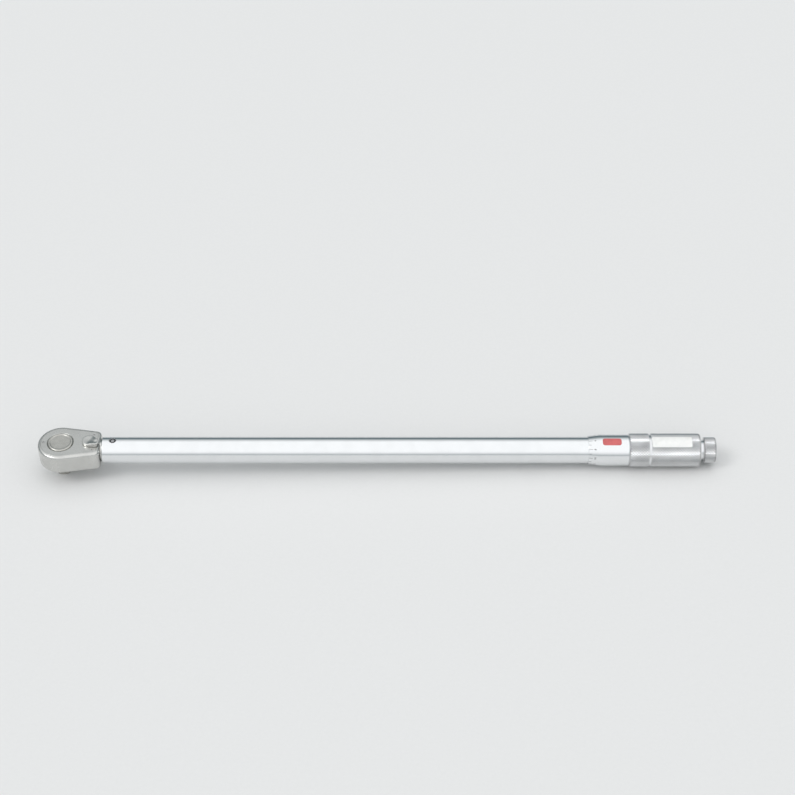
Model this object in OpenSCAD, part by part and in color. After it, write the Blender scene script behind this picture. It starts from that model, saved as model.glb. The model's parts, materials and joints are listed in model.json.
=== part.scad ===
// Click-type torque wrench with a reversible ratchet head, a chromed tube and a knurled metal handle.
// It lies along +X with its square drive pointing down. The origin is the middle of the square drive
// at its shoulder, where a socket seats. All sizes are in millimetres.

/* [Square drive] */
// Width of the square drive across its flats
drive_square = 12.7; // [11:0.1:13.5]
// Length of the square drive below its shoulder
drive_len = 16; // [14:0.5:20]
// Radius of the ball that holds the socket
detent_ball_r = 2.4; // [1.8:0.1:2.8]
// How far the ball stands out of the square
detent_proud = 0.9; // [0.5:0.1:1.2]

/* [Ratchet] */
// Radius over the tips of the ratchet teeth
gear_tip_r = 14; // [13.5:0.1:16]
// Number of ratchet teeth
teeth = 48; // [36:12:60]
// Depth of the ratchet teeth
tooth_depth = 1; // [0.7:0.05:1.2]
// Radius of the round bearing above the square
journal_r = 10.4; // [9.8:0.1:11.5]
// How far the gear's round back stands out of the cover
disc_proud = 0.8; // [0.3:0.1:1.5]
// Thickness of the washer under the gear
washer_t = 0.8; // [0.5:0.1:1.2]
// Radius of the pin that the pawl rocks on
pawl_pin_r = 1.75; // [1.4:0.05:2]
// Thickness of the pawl behind its teeth
pawl_back = 2.2; // [1.8:0.1:2.6]
// Room that the pawl's teeth get when they are lifted out of mesh
pawl_lift = 0.5; // [0.3:0.1:0.8]
// Angle between the two settings of the reversing lever
lever_swing = 56; // [44:2:64]
// Radius of the lever's post inside the head
lever_post_r = 4; // [3.6:0.1:4.6]
// Radius of the lever's stem where it passes through the cover
lever_stem_r = 3.3; // [2.6:0.1:3.4]
// Height of the lever's thumb piece
lever_t = 4.4; // [3.4:0.2:6]
// Radius of the thumb piece over its stem
lever_base_r = 7; // [5.5:0.1:8]
// Radius of the thumb piece at its tip
lever_tip_r = 4; // [2.5:0.1:4.5]
// Radius of the plunger that presses on the pawl
lever_plunger_r = 1.5; // [1.2:0.1:1.8]

/* [Head] */
// Thickness of the head
head_t = 22; // [20:0.5:26]
// Wall between the gear pocket and the outside of the head
head_wall = 8.6; // [8:0.2:11]
// Width of the head at its end by the tube
shoulder_w = 35; // [33:0.5:39]
// Solid length between the lever's post and the end of the head
neck_wall = 7.4; // [6:0.2:12]
// Rounding of the head's outer edges
head_edge_r = 3; // [1.5:0.25:3]
// Thickness of the head's floor on the drive side
floor_t = 5; // [4:0.25:6]
// Height of the collar between the head and the drive's shoulder
boss_h = 1.5; // [0.5:0.25:3]
// Thickness of the cover plate
cover_t = 2; // [1.5:0.1:2.6]
// Distance from the head's outline to the cover plate's outline
cover_inset = 3.2; // [3.1:0.1:3.6]
// Radius of the cover screws' heads
cover_screw_r = 2.1; // [1.8:0.1:2.2]

/* [Tube] */
// Outer diameter of the tube
tube_od = 27.2; // [26:0.2:30]
// Wall of the tube
tube_wall = 2.8; // [2.2:0.1:3]
// Length of the tube
tube_len = 550; // [520:5:620]
// Gap between the head and the mouth of the tube
mouth_gap = 1.5; // [1.2:0.1:3]
// Distance from the mouth of the tube to the pivot pin
pivot_inset = 11; // [9:0.5:16]
// Radius of the pivot pin
pivot_r = 3.5; // [3:0.1:4.2]

/* [Click mechanism] */
// Angle that the head swings through when the wrench clicks
click_deg = 2; // [1.4:0.1:2.2]
// Distance from the pivot pin to the toggle block
tail_len = 120; // [100:2:125]
// Thickness of the lever that reaches back from the head
tail_t = 14; // [10:0.5:15]
// Distance between the two round ends of the toggle block
toggle_len = 8; // [7.6:0.2:10]
// Radius of those round ends
toggle_r = 3; // [2.4:0.1:3.2]
// Length of the plunger that carries the spring's load
plunger_len = 32; // [24:1:40]
// Outer diameter of the main spring
spring_od = 20; // [18:0.2:20.4]
// Diameter of the main spring's wire
spring_wire = 4.2; // [3.6:0.1:4.6]
// Length of the main spring at the lowest setting
spring_len = 190; // [170:2:210]
// Number of turns of the main spring
spring_turns = 24; // [18:1:26]
// Thickness of the cup behind the main spring
spring_seat_t = 8; // [6:0.5:14]
// Radius of the rod between that cup and the screw
push_rod_r = 6; // [5:0.1:6.8]
// Radius of the ball that the screw turns on
thrust_ball_r = 4; // [3:0.1:4.6]

/* [Adjusting screw] */
// Radius of the adjusting screw
screw_r = 7; // [6.4:0.1:7.6]
// Advance of the screw in one turn
screw_pitch = 2.5; // [2:0.25:2.5]
// Turns from the lowest to the highest setting
screw_turns = 14; // [8:1:14]
// Length of the screw in front of its nut
screw_front = 34.5; // [30:0.5:50]
// Length of nut that stays on the thread at either limit
nut_grip = 14; // [10:1:20]
// Radius of the screw's plain end inside the handle
screw_shank_r = 5; // [4.4:0.1:6]
// Radius of the pins that hold the nut in the tube
nut_pin_r = 1.5; // [1:0.1:2]

/* [Handle] */
// Length of tube inside the handle at the lowest setting
handle_overlap = 59; // [52:1:70]
// Diameter of the thimble that carries the fine scale
thimble_od = 32; // [31.4:0.2:34]
// Length of the thimble
thimble_len = 41; // [38:0.5:46]
// Length of the thimble's bevelled front
bevel_len = 12; // [8:0.5:14]
// Diameter of the grip over its knurled bands
grip_od = 33.6; // [33.2:0.2:37]
// Length of one diamond of the knurl
knurl_pitch = 2.8; // [2.4:0.2:6]
// Height of the knurl's diamonds
knurl_depth = 0.6; // [0.3:0.05:0.7]
// Length of the grip in front of its groove
grip_front = 20; // [10:0.5:24]
// Width of the plain groove round the grip
grip_groove_w = 2.4; // [1.5:0.1:4]
// Length of the hub that joins the grip to the screw
hub_len = 16; // [12:0.5:24]
// Radius of the set screw that holds the hub
hub_screw_r = 2.5; // [2:0.1:3]
// Length of the blank label on the thimble
label_len = 19; // [10:0.5:22]
// Width of that label round the thimble
label_w = 8; // [5:0.5:14]
// Width of the blank plate round the grip
plate_w = 12; // [6:0.5:16]
// Diameter of the lock knob
knob_od = 26; // [22:0.5:31]
// Length of the lock knob
knob_len = 15.6; // [12:0.2:24]
// Radius of the lock knob's stud
knob_stud_r = 3; // [2.6:0.1:3.2]
// Radius of the rod that the lock knob pushes
lock_rod_r = 2.2; // [1.8:0.1:2.4]
// Radius of the balls that lock the screw in its nut
lock_ball_r = 1.5; // [1.2:0.1:1.8]

/* [Hidden] */
$fn = 64;

// Clearances: a running fit, a seated face, pieces that pass each other, and room to swing
fit_gap = 0.05;
seat_gap = 0.1;
pass_gap = 0.3;
swing_gap = 0.6;
// A cut runs this far past the surface that it opens
past = 1;

// Heights in the head, from the drive's shoulder up
head_z0 = boss_h;
head_z1 = boss_h + head_t;
axis_z = boss_h + head_t / 2;
floor_z = head_z0 + floor_t;
cover_z = head_z1 - cover_t;
gear_z0 = floor_z + washer_t + seat_gap;
gear_z1 = cover_z - pass_gap;
pawl_z0 = floor_z + pass_gap;
pocket_h = cover_z - floor_z;

// Ratchet layout in plan, from the drive's axis towards the tube
root_r = gear_tip_r - tooth_depth;
disc_step = 0.3;
disc_r = root_r - disc_step;
gear_pocket_r = gear_tip_r + 0.4;
mesh_gap = 0.2;
arm_from = 26;
arm_to = 50;
arm_mid = (arm_from + arm_to) / 2;
arm_reach = 3;
pawl_relief_r = gear_tip_r + 1.2;
pawl_outer_r = pawl_relief_r + pawl_back;
pawl_web = 2;
pawl_pin_x = pawl_relief_r + pawl_web + pawl_pin_r;
heel_web = 1.5;
heel_half = 4.6;
heel_x = pawl_pin_x + pawl_pin_r + fit_gap + heel_web;
plunger_gap = 0.35;
plunger_reach = lever_post_r + 2.5;
lever_x = heel_x + plunger_gap + plunger_reach;
// A turn of the pawl by one radian lifts its teeth by this much along the gear's radius
lift_per_radian = pawl_pin_x * sin(arm_mid);
pawl_rock = (tooth_depth + pawl_lift) / lift_per_radian * 180 / PI;
pawl_sweep = 1.3;
pocket_half = max(heel_half, plunger_reach * sin(lever_swing / 2) + lever_plunger_r) + 1.1;
plunger_z = (floor_z + cover_z) / 2;
plunger_inner = 1;
plunger_bore_end = -2.6;

// Head outline
head_r = gear_pocket_r + head_wall;
head_len = lever_x + lever_post_r + neck_wall;
head_corner_r = 6;
lever_len = head_len - lever_x;
opening_chamfer = 0.7;
cover_screw_shank_r = 0.6 * cover_screw_r;
cover_screw_len = 3.5 * cover_t;
cover_screw_inset = cover_inset + cover_screw_r + 1.2;
cover_screw_spots = [
    [-(gear_pocket_r + head_r - cover_inset) / 2, 0],
    [lever_x + lever_post_r, shoulder_w / 2 - cover_screw_inset],
    [lever_x + lever_post_r, cover_screw_inset - shoulder_w / 2]
];

// Tube line, along X
tube_r = tube_od / 2;
tube_ir = tube_r - tube_wall;
tube_x0 = head_len + mouth_gap;
tube_x1 = tube_x0 + tube_len;
tube_chamfer = 0.6;
pivot_x = tube_x0 + pivot_inset;
neck_r = tube_ir - swing_gap;
neck_sink = 8;
neck_x1 = pivot_x + pivot_r + 6;
tail_room = 0.4;
toggle_gap = 0.35;
toggle_inset = 1.5;
toggle_x0 = pivot_x + tail_len;
toggle_x1 = toggle_x0 + toggle_len;
tail_x1 = toggle_x0 - toggle_inset;
plunger_x0 = toggle_x1 + toggle_inset;
plunger_x1 = plunger_x0 + plunger_len;
spring_r = (spring_od - spring_wire) / 2;
spigot_r = spring_od / 2 - spring_wire - 0.5;
spigot_len = 12;
spring_x0 = plunger_x1 + seat_gap;
spring_x1 = spring_x0 + spring_len;
seat_x0 = spring_x1 + seat_gap;
seat_x1 = seat_x0 + spring_seat_t;

// Screw, nut and handle
travel = screw_pitch * screw_turns;
nut_x1 = tube_x1 - 4;
nut_x0 = nut_x1 - travel - nut_grip;
screw_x0 = nut_x0 - screw_front;
ball_seat = 1.5;
thrust_x = screw_x0 - ball_seat;
rod_x1 = thrust_x - ball_seat;
hub_x0 = tube_x1 + travel + 3;
hub_x1 = hub_x0 + hub_len;
thimble_x0 = tube_x1 - handle_overlap;
thimble_x1 = thimble_x0 + thimble_len;
thimble_r = thimble_od / 2;
handle_bore_r = tube_r + pass_gap;
thimble_lip = 0.5;
spigot_wall = (grip_od / 2 - handle_bore_r) / 2;
thimble_spigot_r = handle_bore_r + spigot_wall;
thimble_spigot_len = 6;
seal_r = 0.6;
seal_inset = 9;
seal_x = thimble_x1 - seal_inset;
grip_r = grip_od / 2;
grip_groove = 0.8;
grip_chamfer = 1.2;
label_depth = 0.35;
label_x0 = thimble_x0 + bevel_len + 2;
label_tilt = 14;
groove_x1 = thimble_x1 + grip_front + grip_groove_w;
plate_t = 0.5;
plate_front = 0.6;
plate_rear = 9;
plate_x0 = groove_x1 + plate_front;
plate_len = hub_x1 - plate_rear - plate_x0;
hub_screw_x = (hub_x0 + hub_x1) / 2;
knob_x0 = hub_x1 + 0.4;
knob_x1 = knob_x0 + knob_len;
knob_neck_r = knob_od / 2 - 3;
knob_neck_len = 3;
knob_chamfer = 1.2;
lock_ball_x = nut_x1 - 3;
stud_x0 = hub_x0 + 2;

// Points of a quarter arc about centre c, from angle a to angle b
function arc(c, r, a, b, steps = 6) =
    [for (i = [0:steps]) c + r * [cos(a + (b - a) * i / steps), sin(a + (b - a) * i / steps)]];

// Half section of a round disc from height 0 to h, with both outer edges rounded
function disc_section(r, h, e) = concat(
    [[0, 0]], arc([r - e, e], e, -90, 0), arc([r - e, h - e], e, 0, 90), [[0, h]]
);

// Corners of the ratchet gear, grown outwards, with a valley on +X
function gear_points(grow = 0) = [
    for (i = [0:teeth - 1], corner = [[0, root_r], [0.44, gear_tip_r], [0.56, gear_tip_r]])
        let (a = (i + corner[0]) * 360 / teeth)
            (corner[1] + grow) * [cos(a), sin(a)]
];

// Half the width that the tail may have at x, so that it clears the tube when the head has swung
function tail_half(x) =
    sqrt(pow(tube_ir, 2) - pow(tail_t / 2, 2)) - (x - pivot_x) * sin(click_deg) - tail_room;

// Sector of a circle between two angles, as a polygon that reaches past radius r
function sector(r, a, b) = concat([[0, 0]], arc([0, 0], 1.2 * r, a, b, 4));

// Height along a spring after some turns, with one closed turn at each end
function coil_height(turn, turns, length, wire) =
    let (closed = wire + 0.5, open = (length - wire - 2 * closed) / (turns - 2))
        wire / 2 + (turn < 1 ? turn * closed
            : turn < turns - 1 ? closed + (turn - 1) * open
            : closed + (turns - 2) * open + (turn - turns + 1) * closed);

// The even number of steps of about half a diamond that fit in a length
function knurl_steps(length) = 2 * round(length / knurl_pitch);

// Middle of the wire after some turns, on a coil about Z
function coil_point(turn, turns, length, wire, r) =
    [r * cos(360 * turn), r * sin(360 * turn), coil_height(turn, turns, length, wire)];

coil_rings = 8;
coil_sides = 6;

// Places its children on the tube's axis, with their Z along the tube
module on_axis() {
    translate([0, 0, axis_z])
        rotate([0, 90, 0])
            children();
}

// Solid turned on the tube's axis from a half section of [radius, x] points
module turned(points) {
    on_axis()
        rotate_extrude()
            polygon(points);
}

// Turns its children in plan about a point on X
module turn_about(x, angle) {
    translate([x, 0, 0])
        rotate([0, 0, angle])
            translate([-x, 0, 0])
                children();
}

// Coil spring about Z as one unbroken tube, and its least gap to itself
module coil_spring(name, r, wire, length, turns) {
    rings = turns * coil_rings;
    middles = [for (i = [0:rings]) coil_point(i / coil_rings, turns, length, wire, r)];
    points = [
        for (i = [0:rings], k = [0:coil_sides - 1])
            let (
                turn = i / coil_rings,
                out = [cos(360 * turn), sin(360 * turn), 0],
                a = 360 * k / coil_sides
            )
                middles[i] + wire / 2 * (cos(a) * out + sin(a) * [0, 0, 1])
    ];
    sides = [
        for (i = [0:rings - 1], k = [0:coil_sides - 1], half = [0, 1])
            let (
                k1 = (k + 1) % coil_sides,
                a = i * coil_sides + k,
                b = i * coil_sides + k1,
                c = (i + 1) * coil_sides + k1,
                d = (i + 1) * coil_sides + k
            )
                half == 0 ? [a, c, b] : [a, d, c]
    ];
    last = rings * coil_sides;
    caps = [
        for (k = [1:coil_sides - 2], end = [0, 1])
            end == 0 ? [0, k, k + 1] : [last, last + k + 1, last + k]
    ];
    gap = min([for (i = [0:rings - coil_rings]) norm(middles[i + coil_rings] - middles[i])]) - wire;
    echo(str(name, " least gap between turns"), gap);
    polyhedron(points, concat(sides, caps));
}

// Knurled round on the tube's axis from x0 to x1, with chamfered ends. Its outside is a grid of points
// of which every second one stands out, as on a chessboard, so that each of those is a diamond's tip.
module knurled_round(r, x0, x1, chamfer) {
    collar = chamfer - knurl_depth;
    steps = knurl_steps(x1 - x0 - 2 * collar);
    columns = knurl_steps(2 * PI * r);
    last = steps + 2;
    places = concat(
        [x0], [for (i = [0:steps]) x0 + collar + (x1 - x0 - 2 * collar) * i / steps], [x1]
    );
    points = [
        for (i = [0:last], k = [0:columns - 1])
            let (
                end = i == 0 || i == last,
                tip = (i + k) % 2 == 0 && i > 1 && i < last - 1,
                reach = end ? r - chamfer : tip ? r : r - knurl_depth,
                a = 360 * k / columns
            )
                [reach * cos(a), reach * sin(a), places[i]]
    ];
    poles = [[0, 0, x0], [0, 0, x1]];
    sides = [
        for (i = [0:last - 1], k = [0:columns - 1], half = [0, 1])
            let (
                k1 = (k + 1) % columns,
                a = i * columns + k,
                b = i * columns + k1,
                c = (i + 1) * columns + k1,
                d = (i + 1) * columns + k
            )
                (i + k) % 2 == 0
                    ? (half == 0 ? [a, d, b] : [b, d, c])
                    : (half == 0 ? [a, c, b] : [a, d, c])
    ];
    caps = [
        for (k = [0:columns - 1], end = [0, 1])
            let (k1 = (k + 1) % columns, pole = len(points) + end, row = last * columns)
                end == 0 ? [pole, k, k1] : [pole, row + k1, row + k]
    ];
    on_axis()
        polyhedron(concat(points, poles), concat(sides, caps));
}

// Outline of the head in plan, drawn in by an inset
module head_outline(inset) {
    hull() {
        circle(head_r - inset);
        for (side = [-1, 1])
            translate([head_len - head_corner_r, side * (shoulder_w / 2 - head_corner_r)])
                circle(head_corner_r - inset);
    }
}

// Forged head with rounded edges, before it is machined
module head_forging() {
    translate([0, 0, head_z0])
        hull() {
            rotate_extrude($fn = 64)
                polygon(disc_section(head_r, head_t, head_edge_r));
            for (side = [-1, 1])
                translate([head_len - head_corner_r, side * (shoulder_w / 2 - head_corner_r), 0])
                    rotate_extrude($fn = 32)
                        polygon(disc_section(head_corner_r, head_t, head_edge_r));
        }
}

// Neck and tail that reach from the head back into the tube
module head_tail() {
    turned([[0, head_len - neck_sink], [neck_r, head_len - neck_sink], [neck_r, neck_x1], [0, neck_x1]]);
    translate([0, 0, axis_z - tail_t / 2])
        linear_extrude(tail_t)
            polygon([
                [pivot_x, -tail_half(neck_x1)], [neck_x1, -tail_half(neck_x1)],
                [tail_x1, -tail_half(tail_x1)], [tail_x1, tail_half(tail_x1)],
                [neck_x1, tail_half(neck_x1)], [pivot_x, tail_half(neck_x1)]
            ]);
}

// Plan of the pocket that holds the gear, the pawl and the lever's post
module ratchet_pocket() {
    circle(gear_pocket_r);
    intersection() {
        circle(pawl_outer_r + pawl_sweep);
        polygon(sector(pawl_outer_r + pawl_sweep, -arm_to - 5, arm_to + 5));
    }
    translate([0, -pocket_half])
        square([lever_x, 2 * pocket_half]);
    translate([lever_x, 0])
        circle(lever_post_r + seat_gap);
}

module ratchet_head() {
    color("silver")
        difference() {
            union() {
                head_forging();
                head_tail();
            }
            translate([0, 0, cover_z])
                linear_extrude(cover_t + past)
                    head_outline(cover_inset - fit_gap);
            translate([0, 0, floor_z])
                linear_extrude(pocket_h + past)
                    ratchet_pocket();
            translate([0, 0, head_z0 - past])
                cylinder(r = journal_r + fit_gap, h = floor_t + 2 * past);
            translate([pawl_pin_x, 0, floor_z - 3])
                cylinder(r = pawl_pin_r + fit_gap, h = pocket_h);
            for (spot = cover_screw_spots)
                translate([spot[0], spot[1], head_z1 - cover_screw_len - past])
                    cylinder(r = cover_screw_shank_r + fit_gap, h = cover_screw_len + 2 * past);
            translate([pivot_x, 0, axis_z - tube_r])
                cylinder(r = pivot_r + fit_gap, h = tube_od);
            translate([toggle_x0, 0, axis_z - tail_t])
                cylinder(r = toggle_r + toggle_gap, h = 2 * tail_t);
        }
}

// Half section of a countersunk cover screw, grown all round
function cover_screw_section(grow) = [
    [0, -cover_screw_len - grow], [cover_screw_shank_r + grow, -cover_screw_len - grow],
    [cover_screw_shank_r + grow, cover_screw_shank_r - cover_screw_r], [cover_screw_r + grow, 0],
    [0, 0]
];

module head_cover() {
    opening_r = disc_r + seat_gap;
    color("gainsboro")
        difference() {
            translate([0, 0, cover_z])
                linear_extrude(cover_t)
                    head_outline(cover_inset);
            translate([0, 0, cover_z - past])
                cylinder(r = opening_r, h = cover_t + 2 * past);
            translate([0, 0, head_z1 - opening_chamfer])
                cylinder(r1 = opening_r, r2 = opening_r + 2 * opening_chamfer, h = 2 * opening_chamfer);
            translate([lever_x, 0, cover_z - past])
                cylinder(r = lever_stem_r + fit_gap, h = cover_t + 2 * past);
            for (spot = cover_screw_spots)
                translate([spot[0], spot[1], head_z1])
                    rotate_extrude()
                        polygon(cover_screw_section(fit_gap));
        }
}

module cover_screws() {
    socket_r = 0.55 * cover_screw_r;
    socket_depth = 0.9;
    color("dimgray")
        for (spot = cover_screw_spots)
            translate([spot[0], spot[1], head_z1])
                difference() {
                    rotate_extrude()
                        polygon(cover_screw_section(0));
                    translate([0, 0, -socket_depth])
                        cylinder(r = socket_r, h = socket_depth + past, $fn = 6);
                }
}

module gear_washer() {
    color("darkgray")
        translate([0, 0, floor_z])
            difference() {
                cylinder(r = root_r - 0.5, h = washer_t);
                translate([0, 0, -past])
                    cylinder(r = journal_r + pass_gap, h = washer_t + 2 * past);
            }
}

// Square drive with eased corners and a chamfered tip
module square_drive() {
    corner_r = drive_square / sqrt(2) - 0.6;
    tip_r = drive_square / 2 + 0.2;
    tip_h = corner_r - tip_r;
    intersection() {
        translate([-drive_square / 2, -drive_square / 2, -drive_len])
            cube([drive_square, drive_square, drive_len + past]);
        rotate_extrude()
            polygon([
                [0, -drive_len], [tip_r, -drive_len], [corner_r, tip_h - drive_len],
                [corner_r, past], [0, past]
            ]);
    }
}

detent_x = -(drive_square / 2 + detent_proud - detent_ball_r);
detent_z = -drive_len / 2 - 1;
detent_bore_end = drive_square / 2 - 2.8;

module drive_gear() {
    disc_top = head_z1 + disc_proud;
    disc_chamfer = min(0.6, disc_proud);
    color("lightgray")
        difference() {
            union() {
                square_drive();
                cylinder(r = journal_r, h = gear_z0 + past);
                translate([0, 0, gear_z0])
                    linear_extrude(gear_z1 - gear_z0)
                        polygon(gear_points());
                rotate_extrude()
                    polygon([
                        [0, gear_z0 + past], [disc_r, gear_z0 + past], [disc_r, disc_top - disc_chamfer],
                        [disc_r - disc_chamfer, disc_top], [disc_r - 2.2, disc_top],
                        [disc_r - 2.6, disc_top - 0.4], [0, disc_top - 0.4]
                    ]);
            }
            translate([-drive_square, 0, detent_z])
                rotate([0, 90, 0])
                    cylinder(r = detent_ball_r + seat_gap, h = drive_square + detent_bore_end);
        }
}

module detent_ball() {
    color("white")
        translate([detent_x, 0, detent_z])
            sphere(detent_ball_r);
}

module detent_spring() {
    wire = 0.5;
    start = detent_x + detent_ball_r + seat_gap;
    color("darkgray")
        translate([start, 0, detent_z])
            rotate([0, 90, 0])
                coil_spring("detent_spring", detent_ball_r - 0.6, wire,
                    detent_bore_end - start - seat_gap, 4);
}

// The pawl half way between its two settings, in plan
module pawl_plan() {
    difference() {
        union() {
            difference() {
                circle(pawl_outer_r);
                circle(pawl_relief_r);
                polygon(sector(2 * pawl_outer_r, arm_to, 360 - arm_to));
                translate([-2 * pawl_outer_r, -2 * pawl_outer_r])
                    square([2 * pawl_outer_r, 4 * pawl_outer_r]);
            }
            for (side = [-1, 1])
                intersection() {
                    difference() {
                        circle(pawl_outer_r);
                        circle(root_r - arm_reach);
                    }
                    polygon(sector(pawl_outer_r, side * arm_from, side * arm_to));
                }
            translate([pawl_relief_r + 0.4, -heel_half])
                square([lever_x - pawl_relief_r - plunger_reach / 2, 2 * heel_half]);
        }
        for (setting = [-1, 1])
            turn_about(pawl_pin_x, setting * pawl_rock / 2)
                polygon(gear_points(mesh_gap));
        translate([lever_x, 0])
            circle(plunger_reach + plunger_gap);
        translate([pawl_pin_x, 0])
            circle(pawl_pin_r + fit_gap);
    }
}

module pawl() {
    color("slategray")
        translate([0, 0, pawl_z0])
            linear_extrude(gear_z1 - pawl_z0)
                turn_about(pawl_pin_x, pawl_rock / 2)
                    pawl_plan();
}

module pawl_pin() {
    color("gray")
        translate([pawl_pin_x, 0, floor_z - 3 + seat_gap])
            cylinder(r = pawl_pin_r, h = cover_z - floor_z + 3 - 2 * seat_gap);
}

// Places its children at the lever's axis, turned to its rest setting, with X towards the pawl
module at_lever() {
    translate([lever_x, 0, 0])
        rotate([0, 0, 180 - lever_swing / 2])
            children();
}

module reversing_lever() {
    thumb_z = head_z1 + pass_gap;
    color("silver")
        at_lever()
            difference() {
                union() {
                    translate([0, 0, floor_z + pass_gap])
                        cylinder(r = lever_post_r, h = pocket_h - 2 * pass_gap);
                    translate([0, 0, cover_z - past])
                        cylinder(r = lever_stem_r, h = cover_t + past + pass_gap + past);
                    translate([0, 0, thumb_z])
                        hull($fn = 32) {
                            rotate_extrude()
                                polygon(disc_section(lever_base_r, lever_t * 0.7, 0.8));
                            translate([lever_tip_r - lever_len, 0, 0])
                                rotate_extrude()
                                    polygon(disc_section(lever_tip_r, lever_t, 0.8));
                        }
                }
                translate([plunger_bore_end, 0, plunger_z])
                    rotate([0, 90, 0])
                        cylinder(r = lever_plunger_r + fit_gap, h = 2 * lever_post_r);
            }
}

module lever_plunger() {
    color("gray")
        at_lever()
            translate([0, 0, plunger_z])
                rotate([0, 90, 0])
                    rotate_extrude()
                        polygon(concat(
                            [[0, plunger_inner], [lever_plunger_r, plunger_inner]],
                            arc([0, plunger_reach - lever_plunger_r], lever_plunger_r, 0, 90)
                        ));
}

module lever_spring() {
    wire = 0.4;
    color("darkgray")
        at_lever()
            translate([plunger_bore_end + seat_gap, 0, plunger_z])
                rotate([0, 90, 0])
                    coil_spring("lever_spring", lever_plunger_r - 0.5, wire,
                        plunger_inner - plunger_bore_end - 2 * seat_gap, 3);
}

module tube() {
    color("whitesmoke")
        difference() {
            turned([
                [tube_ir + tube_chamfer, tube_x0], [tube_r - tube_chamfer, tube_x0],
                [tube_r, tube_x0 + tube_chamfer], [tube_r, tube_x1 - tube_chamfer],
                [tube_r - tube_chamfer, tube_x1], [tube_ir, tube_x1], [tube_ir, tube_x0 + tube_chamfer]
            ]);
            translate([pivot_x, 0, axis_z - tube_od])
                cylinder(r = pivot_r + fit_gap, h = 2 * tube_od);
            nut_pin_holes(nut_pin_r + fit_gap, tube_od);
        }
}

module pivot_pin() {
    pin_chamfer = 0.5;
    reach = tube_r - 0.1;
    color("dimgray")
        translate([pivot_x, 0, axis_z])
            rotate_extrude()
                polygon([
                    [0, -reach], [pivot_r - pin_chamfer, -reach], [pivot_r, pin_chamfer - reach],
                    [pivot_r, reach - pin_chamfer], [pivot_r - pin_chamfer, reach], [0, reach]
                ]);
}

module toggle_block() {
    color("gray")
        translate([0, 0, axis_z - tail_t / 2 + seat_gap])
            linear_extrude(tail_t - 2 * seat_gap) {
                for (x = [toggle_x0, toggle_x1])
                    translate([x, 0])
                        circle(toggle_r);
                translate([toggle_x0, 0.3 - toggle_r])
                    square([toggle_len, 2 * toggle_r - 0.6]);
            }
}

module plunger() {
    color("gray")
        difference() {
            turned([
                [0, plunger_x0], [tube_ir - pass_gap - 1, plunger_x0], [tube_ir - pass_gap, plunger_x0 + 1],
                [tube_ir - pass_gap, plunger_x1], [spigot_r, plunger_x1],
                [spigot_r, plunger_x1 + spigot_len], [0, plunger_x1 + spigot_len]
            ]);
            translate([toggle_x1, 0, axis_z - tube_r])
                cylinder(r = toggle_r + toggle_gap, h = tube_od);
        }
}

module main_spring() {
    color("darkslategray")
        translate([spring_x0, 0, axis_z])
            rotate([0, 90, 0])
                coil_spring("main_spring", spring_r, spring_wire, spring_len, spring_turns);
}

module spring_seat() {
    color("gray")
        turned([
            [0, seat_x0 - spigot_len], [spigot_r, seat_x0 - spigot_len], [spigot_r, seat_x0],
            [tube_ir - pass_gap, seat_x0], [tube_ir - pass_gap, seat_x1 - 1],
            [tube_ir - pass_gap - 1, seat_x1], [0, seat_x1]
        ]);
}

module push_rod() {
    color("darkgray")
        difference() {
            turned([[0, seat_x1], [push_rod_r, seat_x1], [push_rod_r, rod_x1], [0, rod_x1]]);
            thrust_sphere(thrust_ball_r + seat_gap);
        }
}

// Sphere at the place of the thrust ball
module thrust_sphere(r) {
    translate([thrust_x, 0, axis_z])
        sphere(r);
}

module thrust_ball() {
    color("white")
        thrust_sphere(thrust_ball_r);
}

// Radial holes or pins through the tube's wall and into the nut, one on each side
module nut_pin_holes(r, reach) {
    for (side = [-90, 90])
        translate([(nut_x0 + nut_x1) / 2, 0, axis_z])
            rotate([side, 0, 0])
                translate([0, 0, screw_r + 1])
                    cylinder(r = r, h = reach - screw_r - 1);
}

module adjusting_nut() {
    color("goldenrod")
        difference() {
            turned([
                [screw_r + fit_gap, nut_x0], [tube_ir - fit_gap, nut_x0],
                [tube_ir - fit_gap, nut_x1], [screw_r + fit_gap, nut_x1]
            ]);
            nut_pin_holes(nut_pin_r + fit_gap, tube_od);
        }
}

module nut_pins() {
    color("dimgray")
        nut_pin_holes(nut_pin_r, tube_r - 0.2);
}

module adjusting_screw() {
    color("gray")
        difference() {
            turned([
                [0, screw_x0], [screw_r - 1, screw_x0], [screw_r, screw_x0 + 1], [screw_r, hub_x0],
                [screw_shank_r, hub_x0], [screw_shank_r, hub_x1], [knob_stud_r + fit_gap, hub_x1],
                [knob_stud_r + fit_gap, stud_x0 - seat_gap], [lock_rod_r + fit_gap, stud_x0 - seat_gap],
                [lock_rod_r + fit_gap, lock_ball_x - lock_ball_r], [0, lock_ball_x - lock_ball_r]
            ]);
            thrust_sphere(thrust_ball_r + seat_gap);
            translate([lock_ball_x, -screw_r - past, axis_z])
                rotate([-90, 0, 0])
                    cylinder(r = lock_ball_r + seat_gap, h = 2 * (screw_r + past));
        }
}

module thimble() {
    color("gainsboro")
        difference() {
            turned([
                [handle_bore_r, thimble_x0], [handle_bore_r + thimble_lip, thimble_x0],
                [thimble_r, thimble_x0 + bevel_len], [thimble_r, thimble_x1 - 0.5],
                [thimble_r - 0.5, thimble_x1], [thimble_spigot_r, thimble_x1],
                [thimble_spigot_r, thimble_x1 + thimble_spigot_len],
                [handle_bore_r, thimble_x1 + thimble_spigot_len]
            ]);
            on_axis()
                translate([0, 0, seal_x])
                    rotate_extrude()
                        translate([handle_bore_r - past, -seal_r - seat_gap])
                            square([past + 2 * seal_r - pass_gap + 2 * seat_gap, 2 * (seal_r + seat_gap)]);
            curved_patch(label_x0, label_len, label_w, thimble_r - label_depth, thimble_r + past, fit_gap);
        }
}

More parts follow.
